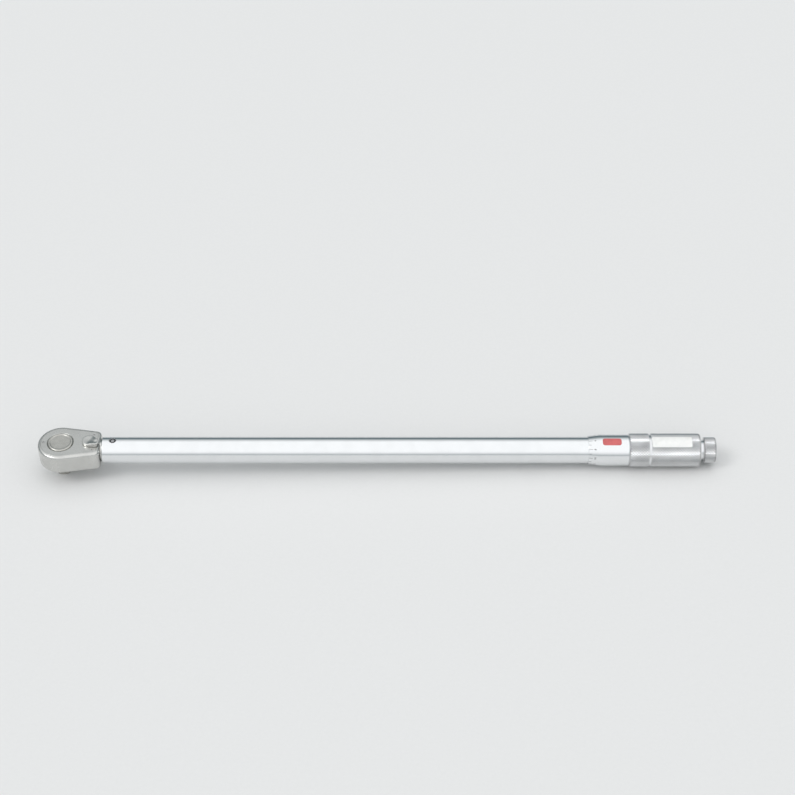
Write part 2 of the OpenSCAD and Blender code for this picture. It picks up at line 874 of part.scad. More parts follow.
module thimble_seal() {
    color("black")
        on_axis()
            translate([0, 0, seal_x])
                rotate_extrude()
                    translate([tube_r + seat_gap + seal_r, 0])
                        circle(seal_r, $fn = 32);
}

// Curved patch on top of the handle between radii r0 and r1, grown at its edges
module curved_patch(x0, length, width, r0, r1, grow = 0) {
    spread = (width + 2 * grow) / r0 * 180 / PI;
    on_axis()
        translate([0, 0, x0 - grow])
            rotate([0, 0, 180 + label_tilt - spread / 2])
                rotate_extrude(angle = spread)
                    translate([r0, 0])
                        square([r1 - r0, length + 2 * grow]);
}

module thimble_label() {
    color("firebrick")
        curved_patch(label_x0, label_len, label_w, thimble_r - label_depth, thimble_r);
}

module grip_plate() {
    color("white")
        curved_patch(plate_x0, plate_len, plate_w, grip_r - grip_groove, grip_r - grip_groove + plate_t);
}

module handle_grip() {
    color("silver")
        difference() {
            knurled_round(grip_r, thimble_x1, hub_x1, grip_chamfer);
            turned([
                [0, thimble_x1 - past], [thimble_spigot_r + fit_gap, thimble_x1 - past],
                [thimble_spigot_r + fit_gap, thimble_x1 + thimble_spigot_len + seat_gap],
                [handle_bore_r, thimble_x1 + thimble_spigot_len + seat_gap],
                [handle_bore_r, hub_x1 + past], [0, hub_x1 + past]
            ]);
            on_axis()
                translate([0, 0, thimble_x1 + grip_front])
                    rotate_extrude()
                        translate([grip_r - grip_groove, 0])
                            square([grip_groove + past, grip_groove_w]);
            curved_patch(plate_x0, plate_len, plate_w, grip_r - grip_groove, grip_r + past, fit_gap);
            hub_screw_hole(hub_screw_r + fit_gap, grip_r + past);
        }
}

// Radial hole for the hub's set screw, on the +Y side
module hub_screw_hole(r, reach) {
    translate([hub_screw_x, 0, axis_z])
        rotate([-90, 0, 0])
            translate([0, 0, screw_shank_r + seat_gap])
                cylinder(r = r, h = reach - screw_shank_r - seat_gap);
}

module handle_hub() {
    color("darkgray")
        difference() {
            turned([
                [screw_shank_r + fit_gap, hub_x0], [handle_bore_r - fit_gap, hub_x0],
                [handle_bore_r - fit_gap, hub_x1], [screw_shank_r + fit_gap, hub_x1]
            ]);
            hub_screw_hole(hub_screw_r + fit_gap, grip_r + past);
        }
}

module hub_screw() {
    reach = grip_r - grip_groove;
    socket_r = 0.58 * hub_screw_r;
    socket_depth = 2.5;
    color("black")
        difference() {
            hub_screw_hole(hub_screw_r, reach);
            translate([hub_screw_x, reach - socket_depth, axis_z])
                rotate([-90, 0, 0])
                    cylinder(r = socket_r, h = socket_depth + past, $fn = 6);
        }
}

module lock_knob() {
    rim_x0 = knob_x0 + knob_neck_len;
    color("silver")
        union() {
            turned([
                [0, stud_x0], [knob_stud_r, stud_x0], [knob_stud_r, knob_x0], [knob_neck_r, knob_x0],
                [knob_neck_r, rim_x0 + past], [0, rim_x0 + past]
            ]);
            knurled_round(knob_od / 2, rim_x0, knob_x1, knob_chamfer);
        }
}

module lock_rod() {
    tip = 1.6;
    color("gray")
        turned([
            [0, lock_ball_x], [0.6, lock_ball_x], [lock_rod_r, lock_ball_x + tip],
            [lock_rod_r, stud_x0 - 2 * seat_gap], [0, stud_x0 - 2 * seat_gap]
        ]);
}

module lock_balls() {
    color("white")
        for (side = [-1, 1])
            translate([lock_ball_x, side * (screw_r - lock_ball_r), axis_z])
                sphere(lock_ball_r);
}

echo("pawl_rock", pawl_rock, "pawl_pin_x", pawl_pin_x, "lever_x", lever_x, "axis_z", axis_z);
echo("pivot_x", pivot_x, "toggle_x1", toggle_x1, "tube_x1", tube_x1, "knob_x1", knob_x1, "head_r", head_r);

ratchet_head();
head_cover();
cover_screws();
gear_washer();
drive_gear();
detent_ball();
detent_spring();
pawl();
pawl_pin();
reversing_lever();
lever_plunger();
lever_spring();
tube();
pivot_pin();
toggle_block();
plunger();
main_spring();
spring_seat();
push_rod();
thrust_ball();
adjusting_nut();
nut_pins();
adjusting_screw();
thimble();
thimble_seal();
thimble_label();
handle_grip();
grip_plate();
handle_hub();
hub_screw();
lock_knob();
lock_rod();
lock_balls();
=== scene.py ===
# %% [markdown]
# # A click-type torque wrench
#
# The wrench is built as solids in a CAD model, which is loaded here as a fixed frame. This lesson dresses
# that frame. Pieces that show get finer surfaces, every piece gets its finish, and at the end come the
# floor, the light and the camera. Shapes are worked out in millimetres and put into Blender in metres.

# %% Load the frame
import json

import bmesh
import bpy
import numpy as np
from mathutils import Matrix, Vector


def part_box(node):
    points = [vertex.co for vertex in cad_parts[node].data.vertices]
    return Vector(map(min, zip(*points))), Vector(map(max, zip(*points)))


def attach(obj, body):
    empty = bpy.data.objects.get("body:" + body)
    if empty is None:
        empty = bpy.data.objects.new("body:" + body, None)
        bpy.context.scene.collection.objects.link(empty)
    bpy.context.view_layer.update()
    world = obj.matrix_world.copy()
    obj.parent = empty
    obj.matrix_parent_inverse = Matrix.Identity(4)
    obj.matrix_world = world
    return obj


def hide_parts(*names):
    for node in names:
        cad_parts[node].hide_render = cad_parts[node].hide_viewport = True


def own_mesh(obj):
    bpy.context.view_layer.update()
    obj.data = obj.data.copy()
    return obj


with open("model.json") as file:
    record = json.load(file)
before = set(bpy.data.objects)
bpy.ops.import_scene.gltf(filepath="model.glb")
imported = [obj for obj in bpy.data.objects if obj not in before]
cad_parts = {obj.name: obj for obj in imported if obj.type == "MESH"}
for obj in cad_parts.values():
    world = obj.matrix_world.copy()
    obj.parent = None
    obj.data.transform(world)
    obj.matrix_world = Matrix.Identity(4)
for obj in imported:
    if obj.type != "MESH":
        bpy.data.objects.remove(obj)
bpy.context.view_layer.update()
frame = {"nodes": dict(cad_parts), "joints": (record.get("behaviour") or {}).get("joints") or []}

MM = 0.001  # a millimetre in metres

# %% [markdown]
# ## Sizes
# Every size that the CAD model knows is read from it, so a piece goes where its solid is. A node's box
# gives its ends and radii, and a joint gives its axis and its travel. Sizes that no box shows, such as a
# wall inside, are named in the step that first needs them.

# %% Read sizes from the frame
X, Y, Z = range(3)


def span(node):
    """Lowest and highest corner of a CAD node, in millimetres."""
    return np.round(np.array([list(corner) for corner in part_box(node)]) / MM, 2)


def half(box, axis):
    """Half of a box's extent along an axis: the radius, where the node is round."""
    return np.ptp(box[:, axis]) / 2


def joint(name):
    """The record of one joint, by its name."""
    return next(j for j in frame["joints"] if j["name"] == name)


TUBE = span("tube")
TUBE_X0, TUBE_X1 = TUBE[:, X]
TUBE_R, AXIS_Z = half(TUBE, Y), TUBE[:, Z].mean()
print("tube from", TUBE_X0, "to", TUBE_X1, "radius", TUBE_R, "axis height", AXIS_Z)

# %% Clearances
FIT = 0.05  # slack of a running fit
SEAT = 0.1  # slack at a seated face
PASS = 0.3  # room between pieces that pass each other
SWING = 0.6  # room for the neck to swing in the tube
PAST = 1  # how far a cutter reaches past what it cuts
SAME = 0.001  # points closer than this are one point
print("clearances from", FIT, "to", SWING, "mm")

# %% [markdown]
# ## Surfaces as grids
# A turned or forged piece is a profile carried along a path. Each shape below is one array of points with
# two directions, rows and columns. Whole arrays are quick, and they keep the formula in view. Faces join
# neighbours in that grid. The columns always close on themselves, and the rows do where a piece is a
# ring.

# %% Faces of a grid
def quads(rows, columns, close_rows=False):
    """Four-sided faces of a grid whose points are numbered row by row."""
    i, j = np.meshgrid(np.arange(rows - (not close_rows)), np.arange(columns), indexing="ij")
    up, on = (i + 1) % rows, (j + 1) % columns
    corners = [i * columns + j, i * columns + on, up * columns + on, up * columns + j]
    return np.stack(corners, -1).reshape(-1, 4)


def outward(points, faces):
    """Faces that look outwards: turned round if the volume under them is negative, which is the sum of
    a . (b x c) over their triangles."""
    a = points[faces[:, 0]]
    fans = range(1, faces.shape[1] - 1)
    volume = sum(np.sum(a * np.cross(points[faces[:, k]], points[faces[:, k + 1]])) for k in fans)
    return faces if volume > 0 else faces[:, ::-1]


def shell(grid, close_rows=False, faces=None):
    """A grid of points (rows, columns, 3) as a list of points and a list of outward faces."""
    points = np.asarray(grid, float).reshape(-1, 3)
    if faces is None:
        faces = quads(*grid.shape[:2], close_rows)
    return points, outward(points, faces)


print("a ring of 4 rows and 3 columns has", len(quads(4, 3, True)), "faces, a sleeve", len(quads(4, 3)))

# %% [markdown]
# ## From arrays to a mesh
# A mesh takes the points and faces as they are. Points that fall together, as at the pole of a round end,
# are merged, so that a surface that is closed in the formula is closed in the mesh too.

# %% Meshes and objects
def merge_points(mesh):
    """Points that fall together become one, and faces that have no area left go."""
    loose = bmesh.new()
    loose.from_mesh(mesh)
    bmesh.ops.remove_doubles(loose, verts=loose.verts, dist=SAME * MM)
    bmesh.ops.dissolve_degenerate(loose, edges=loose.edges, dist=SAME * MM)
    loose.to_mesh(mesh)
    loose.free()


def put(name, data):
    """A new object in the scene, at the origin, with its place in its data."""
    made = bpy.data.objects.new(name, data)
    bpy.context.scene.collection.objects.link(made)
    return made


def solid(name, *shells):
    """One mesh object from closed shells, with points that fall together merged."""
    starts = np.cumsum([0] + [len(points) for points, _ in shells])
    faces = [face for (_, some), start in zip(shells, starts) for face in (some + start).tolist()]
    mesh = bpy.data.meshes.new(name)
    mesh.from_pydata(np.concatenate([points for points, _ in shells]) * MM, [], faces)
    merge_points(mesh)
    return put(name, mesh)


print("points closer than", SAME, "mm are merged")

# %% [markdown]
# ## Cutting, joining and dressing
# Holes and joined stubs could be worked into every grid, but a drilled hole is quicker to say than to
# draw. So it is cut as in the workshop, by a Boolean whose result is kept. Each finished piece is then
# dressed: it is shaded smoothly up to its creases, gets its finish, rides on its body and stands for its
# CAD nodes.

# %% Carve and dress
CREASE = 32  # edges are sharp from this angle on, in degrees


def carve(piece, cutters, operation="DIFFERENCE"):
    """Cuts shells or pieces out of a piece, or joins them to it, with Boolean modifiers whose result is
    kept."""
    tools = [tool if isinstance(tool, bpy.types.Object) else solid("cutter", tool) for tool in cutters]
    for tool in tools:
        step = piece.modifiers.new("carve", "BOOLEAN")
        step.operation, step.solver, step.object = operation, "EXACT", tool
    graph = bpy.context.evaluated_depsgraph_get()
    done = bpy.data.meshes.new_from_object(piece.evaluated_get(graph))
    merge_points(done)
    piece.modifiers.clear()
    piece.data = done
    for tool in tools:
        bpy.data.objects.remove(tool)


def dress(piece, finish, body, slot, *nodes, crease=CREASE):
    """Shades a piece smoothly up to its creases, and gives it its finish, its body and the nodes that it
    replaces."""
    piece.data.shade_smooth()
    piece.data.set_sharp_from_angle(angle=np.radians(crease))
    piece.modifiers.new("even shading", "WEIGHTED_NORMAL").keep_sharp = True
    piece.data.materials.clear()
    piece.data.materials.append(finish)
    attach(piece, body)
    if nodes:
        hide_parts(*nodes)
    print(piece.name, "faces", len(piece.data.polygons), "on", body, "for", nodes)


print("edges are sharp from", CREASE, "degrees on")

# %% [markdown]
# ## Round shapes
# Most of a wrench comes off a lathe. A half section is carried round the tube's axis, or round an upright
# axis in the head. Blender's Screw modifier does the same, but its seam and its normals would have to be
# mended.

# %% Turned and drilled shapes
SLANT = (0.36, 0.48, 0.8)  # a direction along which no rod lies


def full_turn(columns):
    """Angles of one full turn, evenly spaced, without its end."""
    return np.linspace(0, 2 * np.pi, columns, endpoint=False)


def around(x, r, a):
    """Points round the tube's axis, at angle a from the top towards the front:
    (x, -r sin a, axis + r cos a)."""
    return np.stack(np.broadcast_arrays(x, -r * np.sin(a), AXIS_Z + r * np.cos(a)), -1)


def turned(profile, columns=128):
    """A half section (x, r) carried round the tube's axis."""
    x, r = np.asarray(profile, float).T[:, :, None]
    return around(x, r, full_turn(columns))


def spun(profile, centre=(0, 0), columns=96):
    """A half section (r, z) carried round an upright axis: (cx + r cos a, cy + r sin a, z)."""
    r, z = np.asarray(profile, float).T[:, :, None]
    a = full_turn(columns)
    return np.stack(np.broadcast_arrays(centre[0] + r * np.cos(a), centre[1] + r * np.sin(a), z), -1)


def rod(start, end, r, columns=48):
    """A plain closed cylinder between two points: a circle r (u cos a + v sin a) at each end, and poles."""
    start, end = np.asarray(start, float), np.asarray(end, float)
    along = (end - start) / np.linalg.norm(end - start)
    u = np.cross(along, SLANT)
    u /= np.linalg.norm(u)
    v = np.cross(along, u)
    a = full_turn(columns)[:, None]
    ring = r * (u * np.cos(a) + v * np.sin(a))
    return shell(np.stack([start + 0 * ring, start + ring, end + ring, end + 0 * ring]))


print("a rod is a grid of", len(rod((0, 0, 0), (0, 0, 1), 1)[0]), "points")

# %% [markdown]
# ## Writing materials as sums
# A material is a net of nodes. It could be clicked together or linked line by line, but then its formula
# can't be read. Here a socket is wrapped in a small class, so that a sum such as `0.2 + 0.1 * smear` adds
# its Math nodes by itself. Every other node comes from one method, which takes its type, its settings and
# what goes into its sockets.

# %% A socket as a number
class Value:
    """One output socket. Sums on it add Math nodes."""

    def __init__(self, net, socket):
        self.net, self.socket = net, socket

    def math(self, operation, *terms):
        """A Math node on these terms."""
        return self.net.node("ShaderNodeMath", {"operation": operation}, dict(enumerate(terms)))

    def __add__(self, other):
        return self.math("ADD", self, other)

    def __sub__(self, other):
        return self.math("SUBTRACT", self, other)

    def __rsub__(self, other):
        return self.math("SUBTRACT", other, self)

    def __mul__(self, other):
        return self.math("MULTIPLY", self, other)

    __radd__, __rmul__ = __add__, __mul__


print("sums with a socket: +, - and *")

# %% A net of nodes
class Net:
    """The node tree of a material or of the world."""

    def __init__(self, owner):
        owner.use_nodes = True
        self.owner, self.tree = owner, owner.node_tree

    def feed(self, socket, value):
        """Links a value to a socket, or sets a plain number or colour on it."""
        if isinstance(value, Value):
            self.tree.links.new(value.socket, socket)
        else:
            socket.default_value = value

    def node(self, kind, settings=None, sockets=None, out=0):
        """Adds one node: its settings first, then what goes into its sockets. Gives one of its outputs."""
        made = self.tree.nodes.new(kind)
        for name, value in (settings or {}).items():
            setattr(made, name, value)
        for name, value in (sockets or {}).items():
            self.feed(made.inputs[name], value)
        return Value(self, made.outputs[out])

    def vector(self, operation, *terms, out=0):
        """A Vector Math node on these terms."""
        return self.node("ShaderNodeVectorMath", {"operation": operation}, dict(enumerate(terms)), out)

    def blend(self, factor, a, b):
        """Colour a where the factor is 0, colour b where it is 1."""
        return self.node("ShaderNodeMix", {"data_type": "RGBA"}, {"Factor": factor, 6: a, 7: b}, 2)

    def between(self, value, low, high, start=0.0, end=1.0):
        """A smooth step from start to end while the value goes from low to high."""
        sockets = {"Value": value, "From Min": low, "From Max": high, "To Min": start, "To Max": end}
        return self.node("ShaderNodeMapRange", {"interpolation_type": "SMOOTHSTEP"}, sockets)


print("a net adds", [name for name in vars(Net) if not name.startswith("__")])

# %% A finish
class Finish(Net):
    """A new material with the few calls that this wrench's finishes need."""

    def __init__(self, name):
        super().__init__(bpy.data.materials.new(name))
        self.where = self.node("ShaderNodeTexCoord", out="Object")

    def noise(self, size_mm, detail, stretch=(1, 1, 1)):
        """Cloudy numbers from 0 to 1, with clouds of about this size, stretched where a factor is small."""
        scaled = self.node("ShaderNodeMapping", sockets={"Vector": self.where, "Scale": stretch})
        sockets = {"Vector": scaled, "Scale": 1 / (size_mm * MM), "Detail": detail}
        return self.node("ShaderNodeTexNoise", None, sockets, "Fac")

    def from_axis(self, through, across):
        """Distance from an axis: the way from a point on it, times 0 along the axis and 1 across it, as a
        length."""
        centred = self.vector("SUBTRACT", self.where, tuple(MM * part for part in through))
        return self.vector("LENGTH", self.vector("MULTIPLY", centred, across), out="Value")

    def bump(self, height, depth_mm):
        """A normal that leans as if the surface rose by this depth where the height is 1."""
        return self.node("ShaderNodeBump", None, {"Height": height, "Distance": depth_mm * MM})

    def surface(self, **sockets):
        """Feeds the shader's sockets, with _ for a space in their names. Gives the material."""
        shader = self.tree.nodes["Principled BSDF"]
        for name, value in sockets.items():
            self.feed(shader.inputs[name.replace("_", " ")], value)
        return self.owner


def shade(colour, share=1):
    """A colour made darker: each part times the share, as red, green, blue and alpha."""
    return (*(share * part for part in colour), 1.0)


print("a finish adds", [name for name in vars(Finish) if not name.startswith("__")])

# %% [markdown]
# ## Metal finishes
# Chrome plate takes its look from what it mirrors, so its own colour is a plain light grey. One even
# roughness would look like plastic. What makes it real is a roughness that changes: smears from hands, a
# fine grain from grinding before it was plated, and a surface that isn't quite flat. The same recipe with
# other numbers gives ground steel, blackened steel, spring wire, polished balls and brass.

# %% A recipe for metal
CLOUDY, GRAINY = 4.0, 3.0  # detail of a noise that gives clouds, and of one that gives grain
MIDDLE = 0.5  # the mean of a noise
SMEAR_MM, SMEAR_EDGE = 16, (0.35, 0.7)  # size of the smears, and where in their noise they start and end


def metal(name, tint, rough, smear, grain_mm, grain, depth_um, dull=0.9, stretch=(1, 1, 1)):
    """Metal of one tint, a little duller in its smears: roughness = rough + smear * cloud + grain * lines,
    where the lines are taken about their middle."""
    finish = Finish(name)
    cloud = finish.between(finish.noise(SMEAR_MM, CLOUDY), *SMEAR_EDGE)
    lines = finish.noise(grain_mm, GRAINY, stretch)
    return finish.surface(
        Base_Color=finish.blend(cloud, shade(tint), shade(tint, dull)),
        Metallic=1.0,
        Roughness=rough + smear * cloud + grain * (lines - MIDDLE),
        Normal=finish.bump(lines, depth_um / 1000),
    )


print("smears of", SMEAR_MM, "mm")

# %% Chrome, steel and brass
DRAWN, GROUND = (0.02, 1, 1), (1, 0.05, 1)  # grain drawn out along the tube, or across it

satin_chrome = metal(
    "satin_chrome", (0.62, 0.62, 0.60), 0.25, smear=0.10, grain_mm=0.35, grain=0.10, depth_um=0.8,
    dull=0.93)
bright_chrome = metal(
    "bright_chrome", (0.82, 0.835, 0.845), 0.13, smear=0.04, grain_mm=0.5, grain=0.04, depth_um=0.3,
    dull=0.97, stretch=DRAWN)
ground_steel = metal(
    "ground_steel", (0.60, 0.60, 0.59), 0.30, smear=0.06, grain_mm=0.3, grain=0.12, depth_um=1.0,
    stretch=GROUND)
dark_steel = metal(
    "dark_steel", (0.085, 0.085, 0.09), 0.38, smear=0.10, grain_mm=0.4, grain=0.12, depth_um=1.5)
spring_steel = metal(
    "spring_steel", (0.30, 0.31, 0.33), 0.34, smear=0.08, grain_mm=0.4, grain=0.10, depth_um=1.0)
ball_steel = metal(
    "ball_steel", (0.78, 0.78, 0.79), 0.08, smear=0.03, grain_mm=0.6, grain=0.02, depth_um=0.1)
nut_brass = metal(
    "nut_brass", (0.72, 0.52, 0.25), 0.28, smear=0.08, grain_mm=0.4, grain=0.10, depth_um=1.0)
metals = (satin_chrome, bright_chrome, ground_steel, dark_steel, spring_steel, ball_steel, nut_brass)
print("metal finishes", [finish.name for finish in metals])

# %% [markdown]
# ## Turned steel
# The gear's round back was faced on a lathe, so its fine lines run in rings about the drive. A picture of
# rings would have to be mapped onto it. A noise that reads only the distance from the drive's axis gives
# rings by itself.

# %% The gear's back
RINGS_MM, RINGS_DETAIL = 0.25, 2.0  # width of the rings that the tool left, and detail of their noise
STAIN_MM = 8  # size of the stains on it


def turned_steel(name, tint, rough, smear, groove, depth_um, dull):
    """Metal with rings, a noise that depends only on the distance from the drive's axis: roughness =
    rough + smear * cloud + groove * rings, where the rings are taken about their middle."""
    finish = Finish(name)
    r = finish.from_axis((0, 0, 0), (1, 1, 0))
    sockets = {"W": r, "Scale": 1 / (RINGS_MM * MM), "Detail": RINGS_DETAIL}
    rings = finish.node("ShaderNodeTexNoise", {"noise_dimensions": "1D"}, sockets, "Fac")
    cloud = finish.between(finish.noise(STAIN_MM, CLOUDY), *SMEAR_EDGE)
    return finish.surface(
        Base_Color=finish.blend(cloud, shade(tint), shade(tint, dull)),
        Metallic=1.0,
        Roughness=rough + smear * cloud + groove * (rings - MIDDLE),
        Normal=finish.bump(rings, depth_um / 1000),
    )


gear_back = turned_steel(
    "gear_back", (0.58, 0.57, 0.535), 0.24, smear=0.07, groove=0.12, depth_um=2.0, dull=0.86)
print("finish", gear_back.name, "with rings of", RINGS_MM, "mm")

# %% [markdown]
# ## Enamel, paint and rubber
# The label is red enamel under a thin clear coat, the plate is painted a matt white, the scale is filled
# with black paint and the seal is rubber. All four are one tint that is a little darker in worn patches,
# with a grain.

# %% Coloured finishes
PATCH_MM, PATCH_EDGE = 5, (0.35, 0.75)  # size of worn patches, and where in their noise they start and end
PATCH_ROUGH, GRAIN_ROUGH = 0.12, 0.1  # what patches and grain add to the roughness


def coloured(name, tint, rough, grain_mm, depth_um, worn=0.85, coat=0.0):
    """Paint or rubber, a tint that is a little darker in patches: roughness = rough + patches + grain, each
    with its share, and the grain taken about its middle."""
    finish = Finish(name)
    patch = finish.between(finish.noise(PATCH_MM, CLOUDY), *PATCH_EDGE)
    grain = finish.noise(grain_mm, GRAINY)
    return finish.surface(
        Base_Color=finish.blend(patch, shade(tint), shade(tint, worn)),
        Roughness=rough + PATCH_ROUGH * patch + GRAIN_ROUGH * (grain - MIDDLE),
        Normal=finish.bump(grain, depth_um / 1000),
        Coat_Weight=coat,
    )


label_red = coloured("label_red", (0.62, 0.12, 0.12), 0.32, grain_mm=0.3, depth_um=1.0, worn=0.82, coat=0.3)
plate_white = coloured("plate_white", (0.86, 0.86, 0.84), 0.5, grain_mm=0.25, depth_um=2.0, worn=0.93)
seal_rubber = coloured("seal_rubber", (0.02, 0.02, 0.021), 0.6, grain_mm=0.3, depth_um=4.0)
mark_black = coloured("mark_black", (0.025, 0.025, 0.027), 0.45, grain_mm=0.2, depth_um=1.0)
print("coloured finishes", [finish.name for finish in (label_red, plate_white, seal_rubber, mark_black)])

# %% [markdown]
# ## The ratchet head
# The head is a forging shaped like a pear, which holds the gear and carries the load. It could be
# sculpted from a subdivided block, but its outline has to be the solid's own. That outline is a belt laid
# round one large circle over the drive and two small ones at the shoulders. A belt has a point and an
# outward normal everywhere, so a step against the normal draws the outline in by the same width all
# round.

# %% A belt round circles
def belt(circles, per_arc=96, per_side=24):
    """Points, outward normals and hubs of a belt round circles (x, y, r) given anticlockwise. Two circles
    are joined where their common normal n gives n . (c2 - c1) = r1 - r2."""
    here = np.array(circles, float)
    there = np.roll(here, -1, 0)
    step = there[:, :2] - here[:, :2]
    slope = np.arccos((here[:, 2] - there[:, 2]) / np.hypot(*step.T))
    leave = np.arctan2(step[:, 1], step[:, 0]) - slope
    arrive = np.roll(leave, 1)
    angle = arrive[:, None] + ((leave - arrive) % (2 * np.pi))[:, None] * np.linspace(0, 1, per_arc)
    normal = np.stack([np.cos(angle), np.sin(angle)], -1)
    hub = np.repeat(here[:, None, :2], per_arc, 1)
    arc = hub + here[:, None, 2:] * normal
    s = np.linspace(0, 1, per_side + 2)[1:-1, None]

    def bridge(rows):
        """Values on the straight sides, from the end of each arc to the start of the next."""
        end, start = rows[:, -1:], np.roll(rows[:, :1], -1, 0)
        return np.concatenate([rows, end + s * (start - end)], 1).reshape(-1, 2)

    return bridge(arc), bridge(normal), bridge(hub)


print("a belt round two circles has", len(belt([(0, 0, 2), (9, 0, 1)])[0]), "points")

# %% The head's outline
HEAD, COVER = span("ratchet_head"), span("head_cover")
HEAD_R = HEAD[1, Y]
COVER_INSET = HEAD_R - COVER[1, Y]
HEAD_LEN = COVER[1, X] + COVER_INSET
SHOULDER_W = 35  # width of the head at its end by the tube
SHOULDER_R = 6  # rounding of that end's corners
shoulder_x, shoulder_y = HEAD_LEN - SHOULDER_R, SHOULDER_W / 2 - SHOULDER_R
head_path, head_normal, _ = belt([
    (0, 0, HEAD_R), (shoulder_x, -shoulder_y, SHOULDER_R), (shoulder_x, shoulder_y, SHOULDER_R),
])
head_angle = np.arctan2(head_path[:, Y], head_path[:, X])


def level(flat, z):
    """Flat points (x, y) at one height z."""
    return np.column_stack([flat, np.full(len(flat), z)])


def ring_row(r, a, z):
    """A row at radius r, one number or one for each angle a, about the drive's axis:
    (r cos a, r sin a, z)."""
    return level(np.column_stack([r * np.cos(a), r * np.sin(a)]), z)


def head_row(inset, z):
    """The head's outline drawn in by an inset, at one height."""
    return level(head_path - inset * head_normal, z)


print("the head's outline has", len(head_path), "points and reaches from", -HEAD_R, "to", HEAD_LEN)

# %% [markdown]
# ## The pocket under the cover
# The head is hollow for the gear, for the pawl's two arms, for the pawl's heel and for the lever's post.
# Four cutters could make that. But seen from the drive's axis it is one radius for each angle, the
# largest of the four, so it is simply two more rows of the head's own grid.

# %% The pocket
GEAR, LEVER_X = span("drive_gear"), joint("lever_flip")["pos_m"][X] / MM
GEAR_ROOM = 0.4  # room round the gear
PAWL_ROOM_R, PAWL_ROOM_ANGLE = 18.7, np.radians(55)  # the pawl's sector, and half of its angle
HEEL_HALF = 5.7  # half width of the slot for the pawl's heel
POST_R = 4.0  # the lever's post
TINY = 1e-6  # keeps a division from meeting 0
gear_room_r, post_room_r = GEAR[1, Y] + GEAR_ROOM, POST_R + SEAT


def pocket_r(a):
    """Radius of the pocket at angle a: the largest of the gear's circle, the pawl's sector, the heel's slot
    and the lever's round end. The slot ends where r cos a or r sin a meets its sides. The round end, of
    radius e at the distance d, is met at d cos a + sqrt(e^2 - d^2 sin^2 a)."""
    cosine, sine = np.cos(a), abs(np.sin(a))
    slot = np.minimum(LEVER_X / np.maximum(cosine, TINY), HEEL_HALF / np.maximum(sine, TINY))
    inside = np.maximum(post_room_r**2 - (LEVER_X * sine) ** 2, 0)
    round_end = np.where(inside > 0, LEVER_X * cosine + np.sqrt(inside), 0)
    heel = np.where(cosine > 0, np.maximum(slot, round_end), 0)
    sector = np.where(abs(a) < PAWL_ROOM_ANGLE, PAWL_ROOM_R, 0)
    return np.maximum.reduce([np.full_like(a, gear_room_r), sector, heel])


pocket = pocket_r(head_angle)
print("pocket radius from", pocket.min().round(2), "to", pocket.max().round(2))

# %% The head's body
HEAD_Z0, HEAD_Z1 = HEAD[:, Z]
COVER_Z, WASHER = COVER[0, Z], span("gear_washer")
FLOOR_Z = WASHER[0, Z]
JOURNAL_R = 10.4  # the gear's bearing in the head
EDGE_R, BORE_EASE, RECESS_EASE = 3, 0.5, (0.05, 0.1)  # rounded edges, bore and recess
bore_r, recess = JOURNAL_R + FIT, COVER_INSET - FIT
edge_turn = np.linspace(0, np.pi / 2, 12)
edge = EDGE_R * (1 - np.column_stack([np.sin(edge_turn), np.cos(edge_turn)]))
head = solid("head_forging", shell(np.stack([
    ring_row(bore_r, head_angle, FLOOR_Z),
    ring_row(bore_r, head_angle, HEAD_Z0 + BORE_EASE),
    ring_row(bore_r + BORE_EASE, head_angle, HEAD_Z0),
    *[head_row(inset, HEAD_Z0 + drop) for inset, drop in edge],
    *[head_row(inset, HEAD_Z1 - drop) for inset, drop in edge[::-1]],
    head_row(recess - RECESS_EASE[0], HEAD_Z1),
    head_row(recess, HEAD_Z1 - RECESS_EASE[1]),
    head_row(recess, COVER_Z),
    ring_row(pocket, head_angle, COVER_Z),
    ring_row(pocket, head_angle, FLOOR_Z),
]), close_rows=True))
print("head from", HEAD_Z0, "to", HEAD_Z1, "high, its pocket from", FLOOR_Z, "to", COVER_Z)

# %% [markdown]
# ## Neck, tail and holes of the head
# A round neck goes into the tube, and a flat tail reaches back to the click mechanism. Their outlines
# have nothing in common with the belt, so they are closed pieces of their own that are joined to it. The
# holes for the pivot pin, for the toggle's nose and for the screws are cut at the end, through
# everything.

# %% Neck and tail
PIVOT_X = joint("head_click")["pos_m"][X] / MM
TUBE_WALL = 2.8  # wall of the tube
NECK_ROOT, NECK_BEHIND = 8, 9.5  # how far the neck reaches into the head, and past the pivot
TAIL_T, TAIL_HALF = 14, (7.5, 3.7)  # thickness, and half of its width at the neck and at its end
neck_r = TUBE_R - TUBE_WALL - SWING
neck_x0, neck_x1, tail_x1 = HEAD_LEN - NECK_ROOT, PIVOT_X + NECK_BEHIND, HEAD[1, X]


def prism(outline, z0, z1):
    """A closed upright block on an outline, with a pole in the middle of each end."""
    flat = np.asarray(outline, float)
    pole = flat * 0 + flat.mean(0)
    return shell(np.stack([level(pole, z0), level(flat, z0), level(flat, z1), level(pole, z1)]))


neck = turned([(neck_x0, 0), (neck_x0, neck_r), (neck_x1, neck_r), (neck_x1, 0)], columns=96)
tail_side = [(PIVOT_X, TAIL_HALF[0]), (neck_x1, TAIL_HALF[0]), (tail_x1, TAIL_HALF[1])]
tail_plan = [(x, -y) for x, y in tail_side] + tail_side[::-1]
carve(head, [shell(neck), prism(tail_plan, AXIS_Z - TAIL_T / 2, AXIS_Z + TAIL_T / 2)], "UNION")
print("neck radius", round(neck_r, 2), "to", neck_x1, "and tail to", tail_x1)

